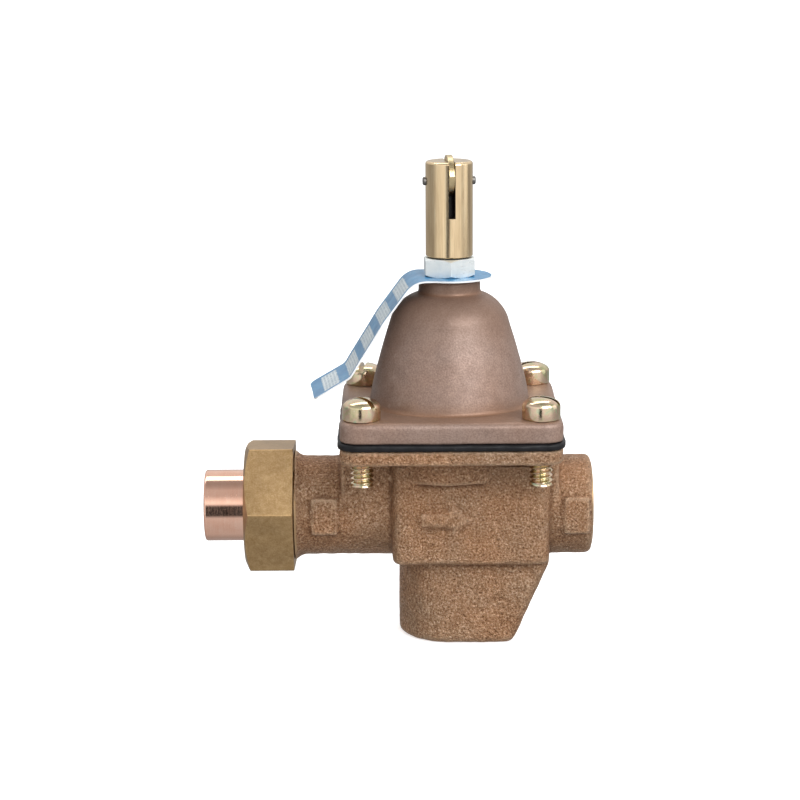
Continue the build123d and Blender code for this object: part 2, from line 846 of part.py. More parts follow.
with BuildPart() as fast_fill_lever:
    with BuildSketch(pin_plane):
        with BuildLine():
            Spline([cam_point(turn) for turn in range(0, 91, 10)])
            CenterArc((0, 0), head_r, head_start, head_end - head_start)
            Spline(handle_back, tangents=[(-0.53, -0.85), (-0.1, -1)])
            ThreePointArc(handle_back[-1], handle_tip, handle_front[0])
            Spline(handle_front, tangents=[(0.06, 1), (1, 0.15)])
            Line(handle_front[-1], cam_start)
        make_face()
    extrude(amount=lever_thick / 2, both=True)
    sides = fast_fill_lever.faces().filter_by(GeomType.PLANE).sort_by(Axis((0, 0, 0), pin_direction))
    fillet(sides[0].edges() + sides[-1].edges(), radius=lever_edge_round)
    with BuildSketch(pin_plane):
        Circle(pin_r + pin_play)
    extrude(amount=lever_thick / 2, both=True, mode=Mode.SUBTRACT)
save(fast_fill_lever.part, "fast_fill_lever")

rod_top = pin_z - cam_low - cam_gap
with BuildPart() as push_rod:
    with BuildSketch(level(washer_low)):
        Circle(rod_r)
    extrude(amount=rod_top - washer_low)
save(push_rod.part, "push_rod")

# ---------------------------------------------------------------- instruction tag and lock nut

tag_top = bonnet_top + tag_thick
tag_forward = Vector(-cos(radians(tag_turn)), -sin(radians(tag_turn)), 0)
tag_side = Plane(origin=(stem_x, 0, 0), x_dir=tag_forward, z_dir=tag_forward.cross(Vector(0, 0, 1)))

with BuildPart() as instruction_tag:
    with BuildSketch(level(bonnet_top)):
        Circle(tag_r)
    extrude(amount=tag_thick)
    with BuildSketch(tag_side):
        with BuildLine():
            FilletPolyline(
                (0, bonnet_top + tag_thick / 2),
                (tag_bend, bonnet_top + tag_thick / 2),
                tag_knee,
                tag_heel,
                tag_end,
                radius=tag_bend_radii,
            )
        trace(line_width=tag_thick)
    extrude(amount=tag_half_width, both=True)
    with BuildSketch(level(bonnet_top)):
        Circle(shank_r + tag_hole_gap)
    extrude(amount=tag_thick, mode=Mode.SUBTRACT)
save(instruction_tag.part, "instruction_tag")

nut_top = sleeve_low - nut_gap
nut_corner_r = hexagon_corner_r(nut_flats)
nut_chamfer_drop = (nut_corner_r - nut_flats / 2) * tan(radians(nut_chamfer_angle))
with BuildPart() as lock_nut:
    with BuildSketch(level(tag_top)) as hexagon:
        RegularPolygon(nut_corner_r, 6, rotation=nut_turn)
        fillet(hexagon.vertices(), radius=nut_edge_round)
    extrude(amount=nut_top - tag_top)
    with BuildSketch(section):
        with BuildLine():
            Polyline(
                (0, tag_top),
                (nut_flats / 2, tag_top),
                (nut_corner_r, tag_top + nut_chamfer_drop),
                (nut_corner_r, nut_top - nut_chamfer_drop),
                (nut_flats / 2, nut_top),
                (0, nut_top),
                close=True,
            )
        make_face()
    revolve(axis=stem_axis, mode=Mode.INTERSECT)
    with BuildSketch(level(tag_top)):
        Circle(shank_r + run)
    extrude(amount=nut_top - tag_top, mode=Mode.SUBTRACT)
save(lock_nut.part, "lock_nut")

# ---------------------------------------------------------------- union

union_corner_r = hexagon_corner_r(union_flats)
with BuildPart() as union_nut:
    with BuildSketch(across(union_left)) as hexagon:
        RegularPolygon(union_corner_r, 6, rotation=90 + union_turn)
        fillet(hexagon.vertices(), radius=union_edge_round)
    extrude(amount=union_right - union_left)
    with BuildSketch(section):
        with BuildLine():
            Polyline(
                (union_left, 0),
                (union_left, union_flats / 2 - union_chamfer_in),
                (union_left + union_chamfer_long, union_corner_r),
                (union_right - union_right_chamfer, union_corner_r),
                (union_right, union_corner_r - union_right_chamfer),
                (union_right, 0),
                close=True,
            )
        make_face()
    revolve(axis=Axis.X, mode=Mode.INTERSECT)
    with BuildSketch(section):
        with BuildLine():
            Polyline(
                (union_left, 0),
                (union_left, tail_r + union_tail_gap),
                (collar_left, tail_r + union_tail_gap),
                (collar_left, union_thread_r + run),
                (union_right - union_thread_lead, union_thread_r + run),
                (union_right, union_thread_r + run + union_thread_lead),
                (union_right, 0),
                close=True,
            )
        make_face()
    revolve(axis=Axis.X, mode=Mode.SUBTRACT)
save(union_nut.part, "union_nut")

with BuildPart() as union_tailpiece:
    with BuildSketch(section):
        with BuildLine():
            Polyline(
                (collar_right, cup_r - cup_stop),
                (collar_right, collar_r),
                (collar_left, collar_r),
                (collar_left, tail_r),
                (tail_left + tail_rim_round, tail_r),
            )
            RadiusArc(
                (tail_left + tail_rim_round, tail_r),
                (tail_left, tail_r - tail_rim_round),
                -tail_rim_round,
            )
            Polyline(
                (tail_left, tail_r - tail_rim_round),
                (tail_left, cup_r),
                (tail_left + cup_depth, cup_r),
                (tail_left + cup_depth, cup_r - cup_stop),
                (collar_right, cup_r - cup_stop),
            )
        make_face()
    revolve(axis=Axis.X)
save(union_tailpiece.part, "union_tailpiece")

save(flow_ring(collar_right, union_thread_left, gasket_r, gasket_hole_r), "union_gasket")

# ---------------------------------------------------------------- inlet check valve

check_seat_right = union_thread_left + check_seat_thick
check_spider_left = check_bore_end - check_spider_thick
with BuildPart() as check_housing:
    with BuildSketch(section):
        with BuildLine():
            Polyline(
                (union_thread_left, check_seat_r),
                (union_thread_left, check_bore_r - run),
                (groove_left, check_bore_r - run),
                (groove_left, check_bore_r - groove_depth),
                (groove_left + groove_width, check_bore_r - groove_depth),
                (groove_left + groove_width, check_bore_r - run),
                (check_bore_end, check_bore_r - run),
                (check_bore_end, check_cage_r),
                (check_seat_right, check_cage_r),
                (check_seat_right, check_seat_r),
                close=True,
            )
        make_face()
    revolve(axis=Axis.X)
    with BuildSketch(across(check_spider_left)):
        Circle(check_hub_r)
        with PolarLocations(0, 3):
            Rectangle(check_cage_r + groove_depth / 2, check_arm_width, align=(Align.MIN, Align.CENTER))
        Circle(check_stem_r + run, mode=Mode.SUBTRACT)
    extrude(amount=check_spider_thick)
save(check_housing.part, "check_housing")

with BuildPart() as check_o_ring:
    with BuildSketch(section):
        with Locations((groove_left + groove_width / 2, check_bore_r - run - o_ring_wire_r)):
            Circle(o_ring_wire_r)
    revolve(axis=Axis.X)
save(check_o_ring.part, "check_o_ring")

seal_right = check_seat_right + check_seal_thick
poppet_right = seal_right + check_disc_thick
with BuildPart() as check_poppet:
    with BuildSketch(section):
        with BuildLine():
            Polyline(
                (check_seat_right - check_nose_length, 0),
                (check_seat_right - check_nose_length, check_nose_r),
                (seal_right, check_nose_r),
                (seal_right, check_disc_r),
                (poppet_right, check_disc_r),
                (poppet_right, check_stem_r),
                (check_bore_end + check_stem_proud, check_stem_r),
                (check_bore_end + check_stem_proud, 0),
                close=True,
            )
        make_face()
    revolve(axis=Axis.X)
save(check_poppet.part, "check_poppet")

seal_left = check_seat_right + 0.02
save(flow_ring(seal_left, seal_right, check_disc_r, check_nose_r + run), "check_seal")

check_spring = coil_spring(
    across(poppet_right),
    check_spider_left - poppet_right,
    check_spring_r,
    check_spring_wire_r,
    spring_turns,
)
save(check_spring, "check_spring")
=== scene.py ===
"""Looks for a bronze feed-water pressure reducing valve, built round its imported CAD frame."""

import json
from math import cos, hypot, pi, radians, sin, tan

import bmesh
import bpy
from mathutils import Matrix, Vector, noise


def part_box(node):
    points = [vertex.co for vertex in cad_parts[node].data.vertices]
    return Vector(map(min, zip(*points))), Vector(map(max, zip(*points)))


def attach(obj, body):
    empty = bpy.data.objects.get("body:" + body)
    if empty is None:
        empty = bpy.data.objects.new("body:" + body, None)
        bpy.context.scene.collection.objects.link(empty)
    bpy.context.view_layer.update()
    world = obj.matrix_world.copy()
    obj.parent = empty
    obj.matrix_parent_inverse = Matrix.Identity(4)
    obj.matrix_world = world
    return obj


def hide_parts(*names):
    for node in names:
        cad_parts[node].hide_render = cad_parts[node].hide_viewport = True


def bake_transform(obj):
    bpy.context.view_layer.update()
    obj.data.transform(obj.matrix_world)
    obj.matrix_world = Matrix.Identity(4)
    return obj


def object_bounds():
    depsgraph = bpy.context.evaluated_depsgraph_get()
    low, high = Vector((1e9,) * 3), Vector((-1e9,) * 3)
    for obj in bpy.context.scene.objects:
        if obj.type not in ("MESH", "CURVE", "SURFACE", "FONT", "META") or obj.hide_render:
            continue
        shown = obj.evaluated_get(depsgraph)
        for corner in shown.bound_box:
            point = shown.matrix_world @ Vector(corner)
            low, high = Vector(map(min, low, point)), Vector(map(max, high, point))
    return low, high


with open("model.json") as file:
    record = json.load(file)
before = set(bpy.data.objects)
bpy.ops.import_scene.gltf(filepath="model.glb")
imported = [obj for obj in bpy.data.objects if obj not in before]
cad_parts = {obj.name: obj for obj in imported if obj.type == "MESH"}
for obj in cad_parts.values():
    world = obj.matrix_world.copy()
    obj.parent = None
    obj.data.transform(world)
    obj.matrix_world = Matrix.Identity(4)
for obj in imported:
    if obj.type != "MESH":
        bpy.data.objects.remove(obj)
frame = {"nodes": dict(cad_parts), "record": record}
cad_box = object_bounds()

# ---------------------------------------------------------------- places read from the frame

mm = 0.001
mounts = {mount["name"]: mount for mount in frame["record"]["mounts"]}
outlet_face = mounts["outlet"]["pos_m"][0]
sleeve_low, sleeve_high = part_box("adjusting_screw")
body_low, body_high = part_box("body")
bonnet_low, bonnet_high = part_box("bonnet")
stem_x = (sleeve_low.x + sleeve_high.x) / 2
floor_z = cad_box[0][2]
body_top = body_high.z
gasket_top = bonnet_low.z
flange_top = 27.9 * mm

# ---------------------------------------------------------------- camera

view_distance = 0.620
view_elevation = radians(12.2)
view_roll = radians(-0.35)
lens_mm = 105.9
sensor_mm = 36.0
# where the crossing of the flow axis and the stem axis lies in the picture, from its middle,
# as shares of its width
crossing_right = 0.0620
crossing_up = -0.1295

back = Vector((0, -cos(view_elevation), sin(view_elevation)))
level_right = Vector((1, 0, 0))
level_up = back.cross(level_right)
right = cos(view_roll) * level_right + sin(view_roll) * level_up
up = cos(view_roll) * level_up - sin(view_roll) * level_right
width_there = view_distance * sensor_mm / lens_mm
camera_place = (
    Vector((stem_x, 0, 0))
    + back * view_distance
    - right * crossing_right * width_there
    - up * crossing_up * width_there
)
camera_data = bpy.data.cameras.new("camera")
camera_data.lens = lens_mm
camera_data.sensor_width = sensor_mm
camera_data.clip_start = 0.01
camera = bpy.data.objects.new("camera", camera_data)
camera.matrix_world = Matrix.Translation(camera_place) @ Matrix((right, up, back)).transposed().to_4x4()
bpy.context.scene.collection.objects.link(camera)
bpy.context.scene.camera = camera

# ---------------------------------------------------------------- node helpers


class Shader:
    """A material, with short calls for the nodes that it is made of."""

    def __init__(self, name):
        self.material = bpy.data.materials.new(name)
        self.material.use_nodes = True
        self.tree = self.material.node_tree
        self.surface = self.tree.nodes["Principled BSDF"]
        self.place = self.add("ShaderNodeTexCoord").outputs["Object"]

    def add(self, kind, inputs=None, **settings):
        made = self.tree.nodes.new(kind)
        for key, value in settings.items():
            setattr(made, key, value)
        for key, value in (inputs or {}).items():
            self.put(made.inputs[key], value)
        return made

    def put(self, socket, value):
        if isinstance(value, bpy.types.NodeSocket):
            self.tree.links.new(value, socket)
        else:
            socket.default_value = value

    def set(self, **values):
        for key, value in values.items():
            self.put(self.surface.inputs[key.replace("_", " ")], value)

    def stretched(self, x, y, z, turn_y=0.0):
        mapping = self.add("ShaderNodeMapping", {"Vector": self.place, "Scale": (x, y, z)})
        mapping.inputs["Rotation"].default_value = (0, turn_y, 0)
        return mapping.outputs["Vector"]

    def noise(self, scale, detail=3.0, rough=0.55, place=None, twist=0.0):
        inputs = {"Vector": place or self.place, "Scale": scale, "Detail": detail}
        inputs.update({"Roughness": rough, "Distortion": twist})
        return self.add("ShaderNodeTexNoise", inputs).outputs["Fac"]

    def cells(self, scale):
        inputs = {"Vector": self.place, "Scale": scale}
        return self.add("ShaderNodeTexVoronoi", inputs).outputs["Distance"]

    def range(self, value, low, high, to_low=0.0, to_high=1.0):
        inputs = {"Value": value, "From Min": low, "From Max": high, "To Min": to_low, "To Max": to_high}
        return self.add("ShaderNodeMapRange", inputs).outputs["Result"]

    def math(self, operation, a, b=0.0):
        made = self.add("ShaderNodeMath", operation=operation)
        self.put(made.inputs[0], a)
        self.put(made.inputs[1], b)
        return made.outputs["Value"]

    def ramp(self, value, *stops):
        made = self.add("ShaderNodeValToRGB", {"Fac": value})
        elements = made.color_ramp.elements
        while len(elements) < len(stops):
            elements.new(0.5)
        for element, (at, colour) in zip(elements, stops):
            element.position = at
            element.color = (*colour, 1)
        return made.outputs["Color"]

    def mix(self, share, a, b, blend="MIX"):
        made = self.add("ShaderNodeMix", data_type="RGBA", blend_type=blend)
        self.put(made.inputs["Factor"], share)
        self.put(made.inputs["A"], a if isinstance(a, bpy.types.NodeSocket) else (*a, 1))
        self.put(made.inputs["B"], b if isinstance(b, bpy.types.NodeSocket) else (*b, 1))
        return made.outputs["Result"]

    def bump(self, height, depth, strength=1.0, under=None):
        inputs = {"Height": height, "Distance": depth, "Strength": strength}
        if under is not None:
            inputs["Normal"] = under
        return self.add("ShaderNodeBump", inputs).outputs["Normal"]

    def part(self, index):
        """One coordinate of the point: 0 for x, 1 for y, 2 for z."""
        return self.add("ShaderNodeSeparateXYZ", {"Vector": self.place}).outputs[index]

    def pointed(self):
        """About 0.5 on flat faces, more on ridges and less in hollows."""
        return self.add("ShaderNodeNewGeometry").outputs["Pointiness"]


def grey(level):
    return (level, level, level)


# ---------------------------------------------------------------- materials of the castings


def sand_cast_bronze():
    """Bare sand-cast bronze: brown, with a coarse grain of dark pits, painted glints as light specks, lighter
    worn ridges with a painted highlight, and painted shade in the hollows.
    """
    s = Shader("sand_cast_bronze")
    broad = s.noise(60, 3)
    blotch = s.noise(330, 4, 0.55)
    grain = s.noise(1750, 4, 0.70)
    pits = s.noise(2300, 3, 0.6)
    specks = s.cells(1700)
    colour = s.ramp(
        grain,
        (0.31, (0.095, 0.045, 0.021)),
        (0.43, (0.310, 0.175, 0.096)),
        (0.55, (0.435, 0.265, 0.158)),
        (0.66, (0.680, 0.480, 0.330)),
        (0.76, (0.860, 0.700, 0.540)),
    )
    tone = s.ramp(blotch, (0.36, (0.90, 0.88, 0.86)), (0.64, (1.08, 1.07, 1.06)))
    colour = s.mix(0.8, colour, tone, "MULTIPLY")
    warmth = s.ramp(broad, (0.38, (1.03, 0.92, 0.83)), (0.62, (0.98, 1.01, 1.04)))
    colour = s.mix(0.8, colour, warmth, "MULTIPLY")
    pitted = s.range(pits, 0.40, 0.28)
    colour = s.mix(s.math("MULTIPLY", pitted, 0.8), colour, (0.050, 0.022, 0.010))
    # painted glints: light specks in the colour that stand in for sparkle highlights on the grain
    glint = s.range(specks, 0.17, 0.07)
    colour = s.mix(s.math("MULTIPLY", glint, 0.5), colour, (0.86, 0.72, 0.57))
    # lighter ridges: worn edges, and a painted highlight on them that brings out the relief
    ridge = s.range(s.pointed(), 0.508, 0.545)
    colour = s.mix(s.math("MULTIPLY", ridge, 0.45), colour, (0.72, 0.53, 0.37))
    # painted shade: darker colour in the hollows and under ledges of the casting
    hollow = s.range(s.pointed(), 0.493, 0.460)
    colour = s.mix(s.math("MULTIPLY", hollow, 0.8), colour, (0.120, 0.052, 0.020))
    relief = s.math("ADD", s.math("MULTIPLY", grain, 0.8), s.math("MULTIPLY", pits, 0.5))
    normal = s.bump(relief, 0.00060, 1.0, s.bump(blotch, 0.0006, 0.35))
    s.set(Base_Color=colour, Metallic=0.75, Roughness=s.range(grain, 0.3, 0.75, 0.50, 0.30), Normal=normal)
    return s.material


def bonnet_coating():
    """Brown coating with a satin gloss and a very fine grain, rubbed orange in the hollows, with painted
    shade at the top of the bell and at its foot above the flange.
    """
    s = Shader("bonnet_coating")
    broad = s.noise(45, 3)
    blotch = s.noise(300, 4, 0.55)
    grain = s.noise(2400, 4, 0.65)
    colour = s.ramp(
        s.math("ADD", s.math("MULTIPLY", grain, 0.72), s.math("MULTIPLY", blotch, 0.28)),
        (0.36, (0.215, 0.141, 0.109)),
        (0.50, (0.275, 0.187, 0.148)),
        (0.64, (0.345, 0.243, 0.195)),
    )
    warmth = s.ramp(broad, (0.36, (1.05, 0.96, 0.90)), (0.64, (0.97, 1.00, 1.04)))
    colour = s.mix(0.7, colour, warmth, "MULTIPLY")
    hollow = s.range(s.pointed(), 0.497, 0.458)
    colour = s.mix(s.math("MULTIPLY", hollow, 0.85), colour, (0.30, 0.130, 0.050))
    # painted shade: the colour darkens towards the top of the bell
    shoulder_shade = s.range(s.part(2), 43 * mm, 53 * mm)
    colour = s.mix(s.math("MULTIPLY", shoulder_shade, 0.6), colour, (0.180, 0.100, 0.062))
    # painted shade: a darker band at the foot of the bell, just above its flange
    under = s.range(s.part(2), flange_top + 3.6 * mm, flange_top + 0.7 * mm)
    over = s.range(s.part(2), flange_top - 0.6 * mm, flange_top - 0.1 * mm)
    foot_shade = s.math("MULTIPLY", under, over)
    colour = s.mix(s.math("MULTIPLY", foot_shade, 0.55), colour, (0.240, 0.130, 0.075))
    ridge = s.range(s.pointed(), 0.515, 0.57)
    colour = s.mix(s.math("MULTIPLY", ridge, 0.3), colour, (0.44, 0.32, 0.26))
    normal = s.bump(grain, 0.00007, 0.5, s.bump(blotch, 0.0002, 0.2))
    s.set(Base_Color=colour, Metallic=0.3, Roughness=s.range(grain, 0.3, 0.7, 0.48, 0.38), Normal=normal)
    return s.material


# ---------------------------------------------------------------- materials of the turned and plated parts


def turned_metal(
    name, dark, light, along, roughness=(0.20, 0.34), mark_depth=0.00006, metallic=1.0, tarnish=None
):
    """Metal with fine tool marks; along names the axis that the marks run round."""
    s = Shader(name)
    squeeze = {"x": (6000, 160, 160), "y": (160, 6000, 160), "z": (160, 160, 6000)}[along]
    marks = s.noise(1.0, 3, 0.6, s.stretched(*squeeze))
    cloud = s.noise(190, 4, 0.6)
    fine = s.noise(2600, 3, 0.6)
    mixed = s.math("ADD", s.math("MULTIPLY", cloud, 0.65), s.math("MULTIPLY", marks, 0.35))
    colour = s.ramp(mixed, (0.34, dark), (0.66, light))
    if tarnish is not None:
        spots = s.range(s.noise(520, 5, 0.7), 0.58, 0.72)
        colour = s.mix(s.math("MULTIPLY", spots, 0.5), colour, tarnish)
    wear = s.math("ADD", s.math("MULTIPLY", fine, 0.5), s.math("MULTIPLY", cloud, 0.5))
    rough = s.range(wear, 0.35, 0.65, *roughness)
    normal = s.bump(marks, mark_depth, 0.5)
    s.set(Base_Color=colour, Metallic=metallic, Roughness=rough, Normal=normal)
    return s.material


def sleeve_brass():
    """Bright brass, drawn lengthwise, with painted shade in its slot."""
    s = Shader("sleeve_brass")
    drawn = s.noise(1.0, 4, 0.65, s.stretched(2600, 2600, 55))
    cloud = s.noise(240, 4, 0.6, s.stretched(1.6, 1.6, 0.35))
    colour = s.ramp(
        s.math("ADD", s.math("MULTIPLY", drawn, 0.45), s.math("MULTIPLY", cloud, 0.55)),
        (0.36, (0.74, 0.55, 0.33)),
        (0.52, (0.88, 0.67, 0.41)),
        (0.66, (0.96, 0.79, 0.53)),
    )
    across_x = s.math("SUBTRACT", s.part(0), stem_x)
    across_y = s.part(1)
    squares = s.math("ADD", s.math("MULTIPLY", across_x, across_x), s.math("MULTIPLY", across_y, across_y))
    out = s.math("SQRT", squares)
    skin = (sleeve_high.x - sleeve_low.x) / 2
    # painted shade: near-black colour, less metal and more roughness on the walls inside the slot
    slot_shade = s.range(out, skin - 0.12 * mm, skin - 0.9 * mm)
    below_top = s.range(s.part(2), sleeve_high.z - 0.05 * mm, sleeve_high.z - 1.0 * mm)
    slot_shade = s.math("MULTIPLY", slot_shade, below_top)
    colour = s.mix(s.math("MULTIPLY", slot_shade, 0.97), colour, (0.022, 0.013, 0.007))
    rough = s.range(cloud, 0.35, 0.65, 0.15, 0.22)
    s.set(
        Base_Color=colour,
        Metallic=s.range(slot_shade, 0, 1, 1.0, 0.4),
        Roughness=s.math("ADD", rough, s.math("MULTIPLY", slot_shade, 0.4)),
        Normal=s.bump(drawn, 0.00002, 0.4),
    )
    return s.material


def yellow_chromate():
    """Zinc plate with a yellow chromate film that turns pink and green in patches."""
    s = Shader("yellow_chromate")
    film = s.noise(260, 3, 0.5, None, 1.2)
    fine = s.noise(1500, 4, 0.6)
    colour = s.ramp(
        film,
        (0.30, (0.54, 0.52, 0.30)),
        (0.44, (0.68, 0.57, 0.36)),
        (0.54, (0.78, 0.56, 0.42)),
        (0.62, (0.70, 0.64, 0.42)),
        (0.74, (0.48, 0.58, 0.42)),
    )
    worn = s.range(fine, 0.58, 0.72)
    colour = s.mix(s.math("MULTIPLY", worn, 0.5), colour, (0.80, 0.74, 0.64))
    s.set(
        Base_Color=colour,
        Metallic=1.0,
        Roughness=s.range(fine, 0.3, 0.7, 0.10, 0.22),
        Normal=s.bump(s.noise(900, 3), 0.00005, 0.35),
    )
    return s.material


def white_zinc():
    s = Shader("white_zinc")
    scratch = s.noise(1.0, 4, 0.6, s.stretched(300, 300, 2600, 0.7))
    cloud = s.noise(330, 4, 0.6)
    colour = s.ramp(cloud, (0.34, (0.80, 0.86, 0.87)), (0.66, (0.93, 0.97, 0.97)))
    s.set(
        Base_Color=colour,
        Metallic=0.85,
        Roughness=s.range(scratch, 0.3, 0.7, 0.26, 0.42),
        Normal=s.bump(scratch, 0.00005, 0.5),
    )
    return s.material


def union_brass():
    """Olive machined brass: smooth, with faint cutter marks and a few handling marks."""
    s = Shader("union_brass")
    broad = s.noise(120, 3)
    mottle = s.noise(700, 4, 0.6)
    fine = s.noise(2600, 4, 0.7)
    cutter = s.noise(1.0, 3, 0.6, s.stretched(2200, 120, 120))
    colour = s.ramp(
        s.math("ADD", s.math("MULTIPLY", mottle, 0.45), s.math("MULTIPLY", fine, 0.55)),
        (0.34, (0.335, 0.205, 0.086)),
        (0.50, (0.430, 0.280, 0.135)),
        (0.66, (0.540, 0.375, 0.200)),
    )
    tone = s.ramp(broad, (0.38, (0.88, 0.86, 0.83)), (0.62, (1.07, 1.06, 1.04)))
    colour = s.mix(0.8, colour, tone, "MULTIPLY")
    marks = s.range(s.noise(900, 6, 0.75), 0.62, 0.70)
    colour = s.mix(s.math("MULTIPLY", marks, 0.5), colour, (0.18, 0.10, 0.04))
    s.set(
        Base_Color=colour,
        Metallic=0.85,
        Roughness=s.range(fine, 0.3, 0.7, 0.28, 0.42),
        Normal=s.bump(cutter, 0.00005, 0.4, s.bump(fine, 0.00005, 0.4)),
    )
    return s.material


def black_rubber():
    s = Shader("black_rubber")
    fine = s.noise(1700, 4, 0.6)
    cloud = s.noise(240, 3)
    colour = s.ramp(cloud, (0.35, (0.004, 0.004, 0.005)), (0.65, (0.010, 0.010, 0.012)))
    dust = s.range(s.noise(1500, 5, 0.75), 0.66, 0.72)
    colour = s.mix(s.math("MULTIPLY", dust, 0.6), colour, (0.32, 0.29, 0.27))
    s.set(
        Base_Color=colour,
        Roughness=s.range(fine, 0.3, 0.7, 0.36, 0.56),
        Specular_IOR_Level=0.28,
        Normal=s.bump(fine, 0.00010, 0.5, s.bump(s.noise(420, 3), 0.0004, 0.6)),
    )
    return s.material


def moulded_plastic(name, dark, light, rough):
    s = Shader(name)
    cloud = s.noise(160, 4)
    fine = s.noise(3000, 3)
    colour = s.ramp(cloud, (0.35, dark), (0.65, light))
    s.set(
        Base_Color=colour,
        Roughness=s.range(fine, 0.3, 0.7, rough - 0.06, rough + 0.06),
        Normal=s.bump(fine, 0.00005, 0.5),
    )
    return s.material


def pressed_fibre():
    s = Shader("pressed_fibre")
    strands = s.noise(900, 6, 0.75, s.stretched(0.4, 1, 1), 1.5)
    colour = s.ramp(strands, (0.35, (0.10, 0.045, 0.022)), (0.65, (0.26, 0.135, 0.075)))
    s.set(Base_Color=colour, Roughness=0.8, Normal=s.bump(strands, 0.0001, 0.8))
    return s.material


def tag_print():
    """Blue laminated card with pale blocks of made-up text rows, laid out along the strap."""
    s = Shader("tag_print")
    coords = s.add("ShaderNodeTexCoord").outputs["UV"]
    parts = s.add("ShaderNodeSeparateXYZ", {"Vector": coords})
    along, over = parts.outputs[0], parts.outputs[1]

    def flat_noise(x, y):
        mapping = s.add("ShaderNodeMapping", {"Vector": coords, "Scale": (x, y, 1)})
        return s.noise(1.0, 2, 0.6, mapping.outputs["Vector"])

    first_block, last_block = 10.2 * mm, tag_length - 3.0 * mm
    block_pitch, block_half, row_pitch = 7.6 * mm, 8.3 * mm, 0.9 * mm
    step = s.math("FRACT", s.math("DIVIDE", s.math("SUBTRACT", along, first_block), block_pitch))
    step = s.math("ADD", step, s.range(flat_noise(500, 900), 0.3, 0.7, -0.02, 0.02))
    long_way = s.math("MULTIPLY", s.math("GREATER_THAN", step, 0.18), s.math("LESS_THAN", step, 0.78))
    past_first = s.math("GREATER_THAN", along, first_block)
    ends = s.math("MULTIPLY", past_first, s.math("LESS_THAN", along, last_block))
    cross_way = s.math("LESS_THAN", s.math("ABSOLUTE", over), block_half)
    block = s.math("MULTIPLY", s.math("MULTIPLY", long_way, cross_way), ends)
    rows = s.math("GREATER_THAN", s.math("FRACT", s.math("DIVIDE", along, row_pitch)), 0.45)
    words = s.range(flat_noise(700, 1500), 0.44, 0.52)
    ink = s.math("MULTIPLY", rows, words)
    fade = s.noise(150, 3)
    blue = s.ramp(fade, (0.35, (0.030, 0.185, 0.390)), (0.65, (0.075, 0.280, 0.500)))
    pale = s.ramp(fade, (0.35, (0.52, 0.62, 0.68)), (0.65, (0.68, 0.74, 0.76)))
    pale = s.mix(s.math("MULTIPLY", ink, 0.65), pale, (0.22, 0.32, 0.40))
    s.set(
        Base_Color=s.mix(block, blue, pale),
        Roughness=s.range(s.noise(700, 3), 0.3, 0.7, 0.28, 0.40),
        Coat_Weight=0.2,
        Normal=s.bump(s.noise(1100, 3), 0.00005, 0.35),
    )
    return s.material


# ---------------------------------------------------------------- mesh helpers


def link(name, mesh, materials, body):
    made = bpy.data.objects.new(name, mesh)
    bpy.context.scene.collection.objects.link(made)
    mesh.materials.clear()
    for material in materials:
        mesh.materials.append(material)
    if body is not None:
        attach(made, body)
    return made


def cad_mesh(node):
    """A welded copy of a CAD node's mesh."""
    mesh = frame["nodes"][node].data.copy()
    work = bmesh.new()
    work.from_mesh(mesh)
    bmesh.ops.remove_doubles(work, verts=work.verts, dist=0.002 * mm)
    work.to_mesh(mesh)
    work.free()
    return mesh


def baked(made):
    """The object's mesh with its modifiers applied, in place of the one that it had."""
    graph = bpy.context.evaluated_depsgraph_get()
    mesh = bpy.data.meshes.new_from_object(made.evaluated_get(graph), depsgraph=graph)
    made.modifiers.clear()
    old, made.data = made.data, mesh
    bpy.data.meshes.remove(old)
    return mesh


def modify(made, kind, **settings):
    modifier = made.modifiers.new(kind.lower(), kind)
    for key, value in settings.items():
        setattr(modifier, key, value)
    return modifier


def smooth_but(mesh, angle):
    mesh.shade_smooth()
    mesh.set_sharp_from_angle(angle=radians(angle))


def cut_away(made, tool):
    """Cuts a closed tool mesh out of the piece, and removes the tool."""
    modify(made, "BOOLEAN", operation="DIFFERENCE", object=tool, solver="MANIFOLD")
    baked(made)
    bpy.data.objects.remove(tool)


def turned(name, profile, axis, steps=96, thread=None):
    """Closed mesh turned round axis from (radius, distance along, thread depth) points.

    axis is a matrix whose local z runs along the axis. thread is the pitch, or None. A profile that
    starts and ends on the axis is a solid, and any other is a ring.
    """
    solid = profile[0][0] == 0
    flat = 0.12  # share of the half pitch that stays flat at the crest and at the root
    verts, faces, rows = [], [], []
    for radius, along, depth in profile:
        if radius == 0:
            rows.append([len(verts)] * steps)
            verts.append(axis @ Vector((0, 0, along)))
            continue
        row = []
        for step in range(steps):
            angle = 2 * pi * step / steps
            r = radius
            if depth:
                phase = (along / thread - step / steps) % 1
                crest = abs(phase - 0.5) * 2
                r -= depth * min(max((crest - flat) / (1 - 2 * flat), 0), 1)
            row.append(len(verts))
            verts.append(axis @ Vector((r * cos(angle), r * sin(angle), along)))
        rows.append(row)
    pairs = list(zip(rows, rows[1:]))
    if not solid:
        pairs.append((rows[-1], rows[0]))
    for low, high in pairs:
        for step in range(steps):
            after = (step + 1) % steps
            corners = [low[step], low[after], high[after], high[step]]
            faces.append(tuple(dict.fromkeys(corners)))
    mesh = bpy.data.meshes.new(name)
    mesh.from_pydata(verts, [], faces)
    work = bmesh.new()
    work.from_mesh(mesh)
    bmesh.ops.recalc_face_normals(work, faces=work.faces)
    work.to_mesh(mesh)
    work.free()
    return mesh


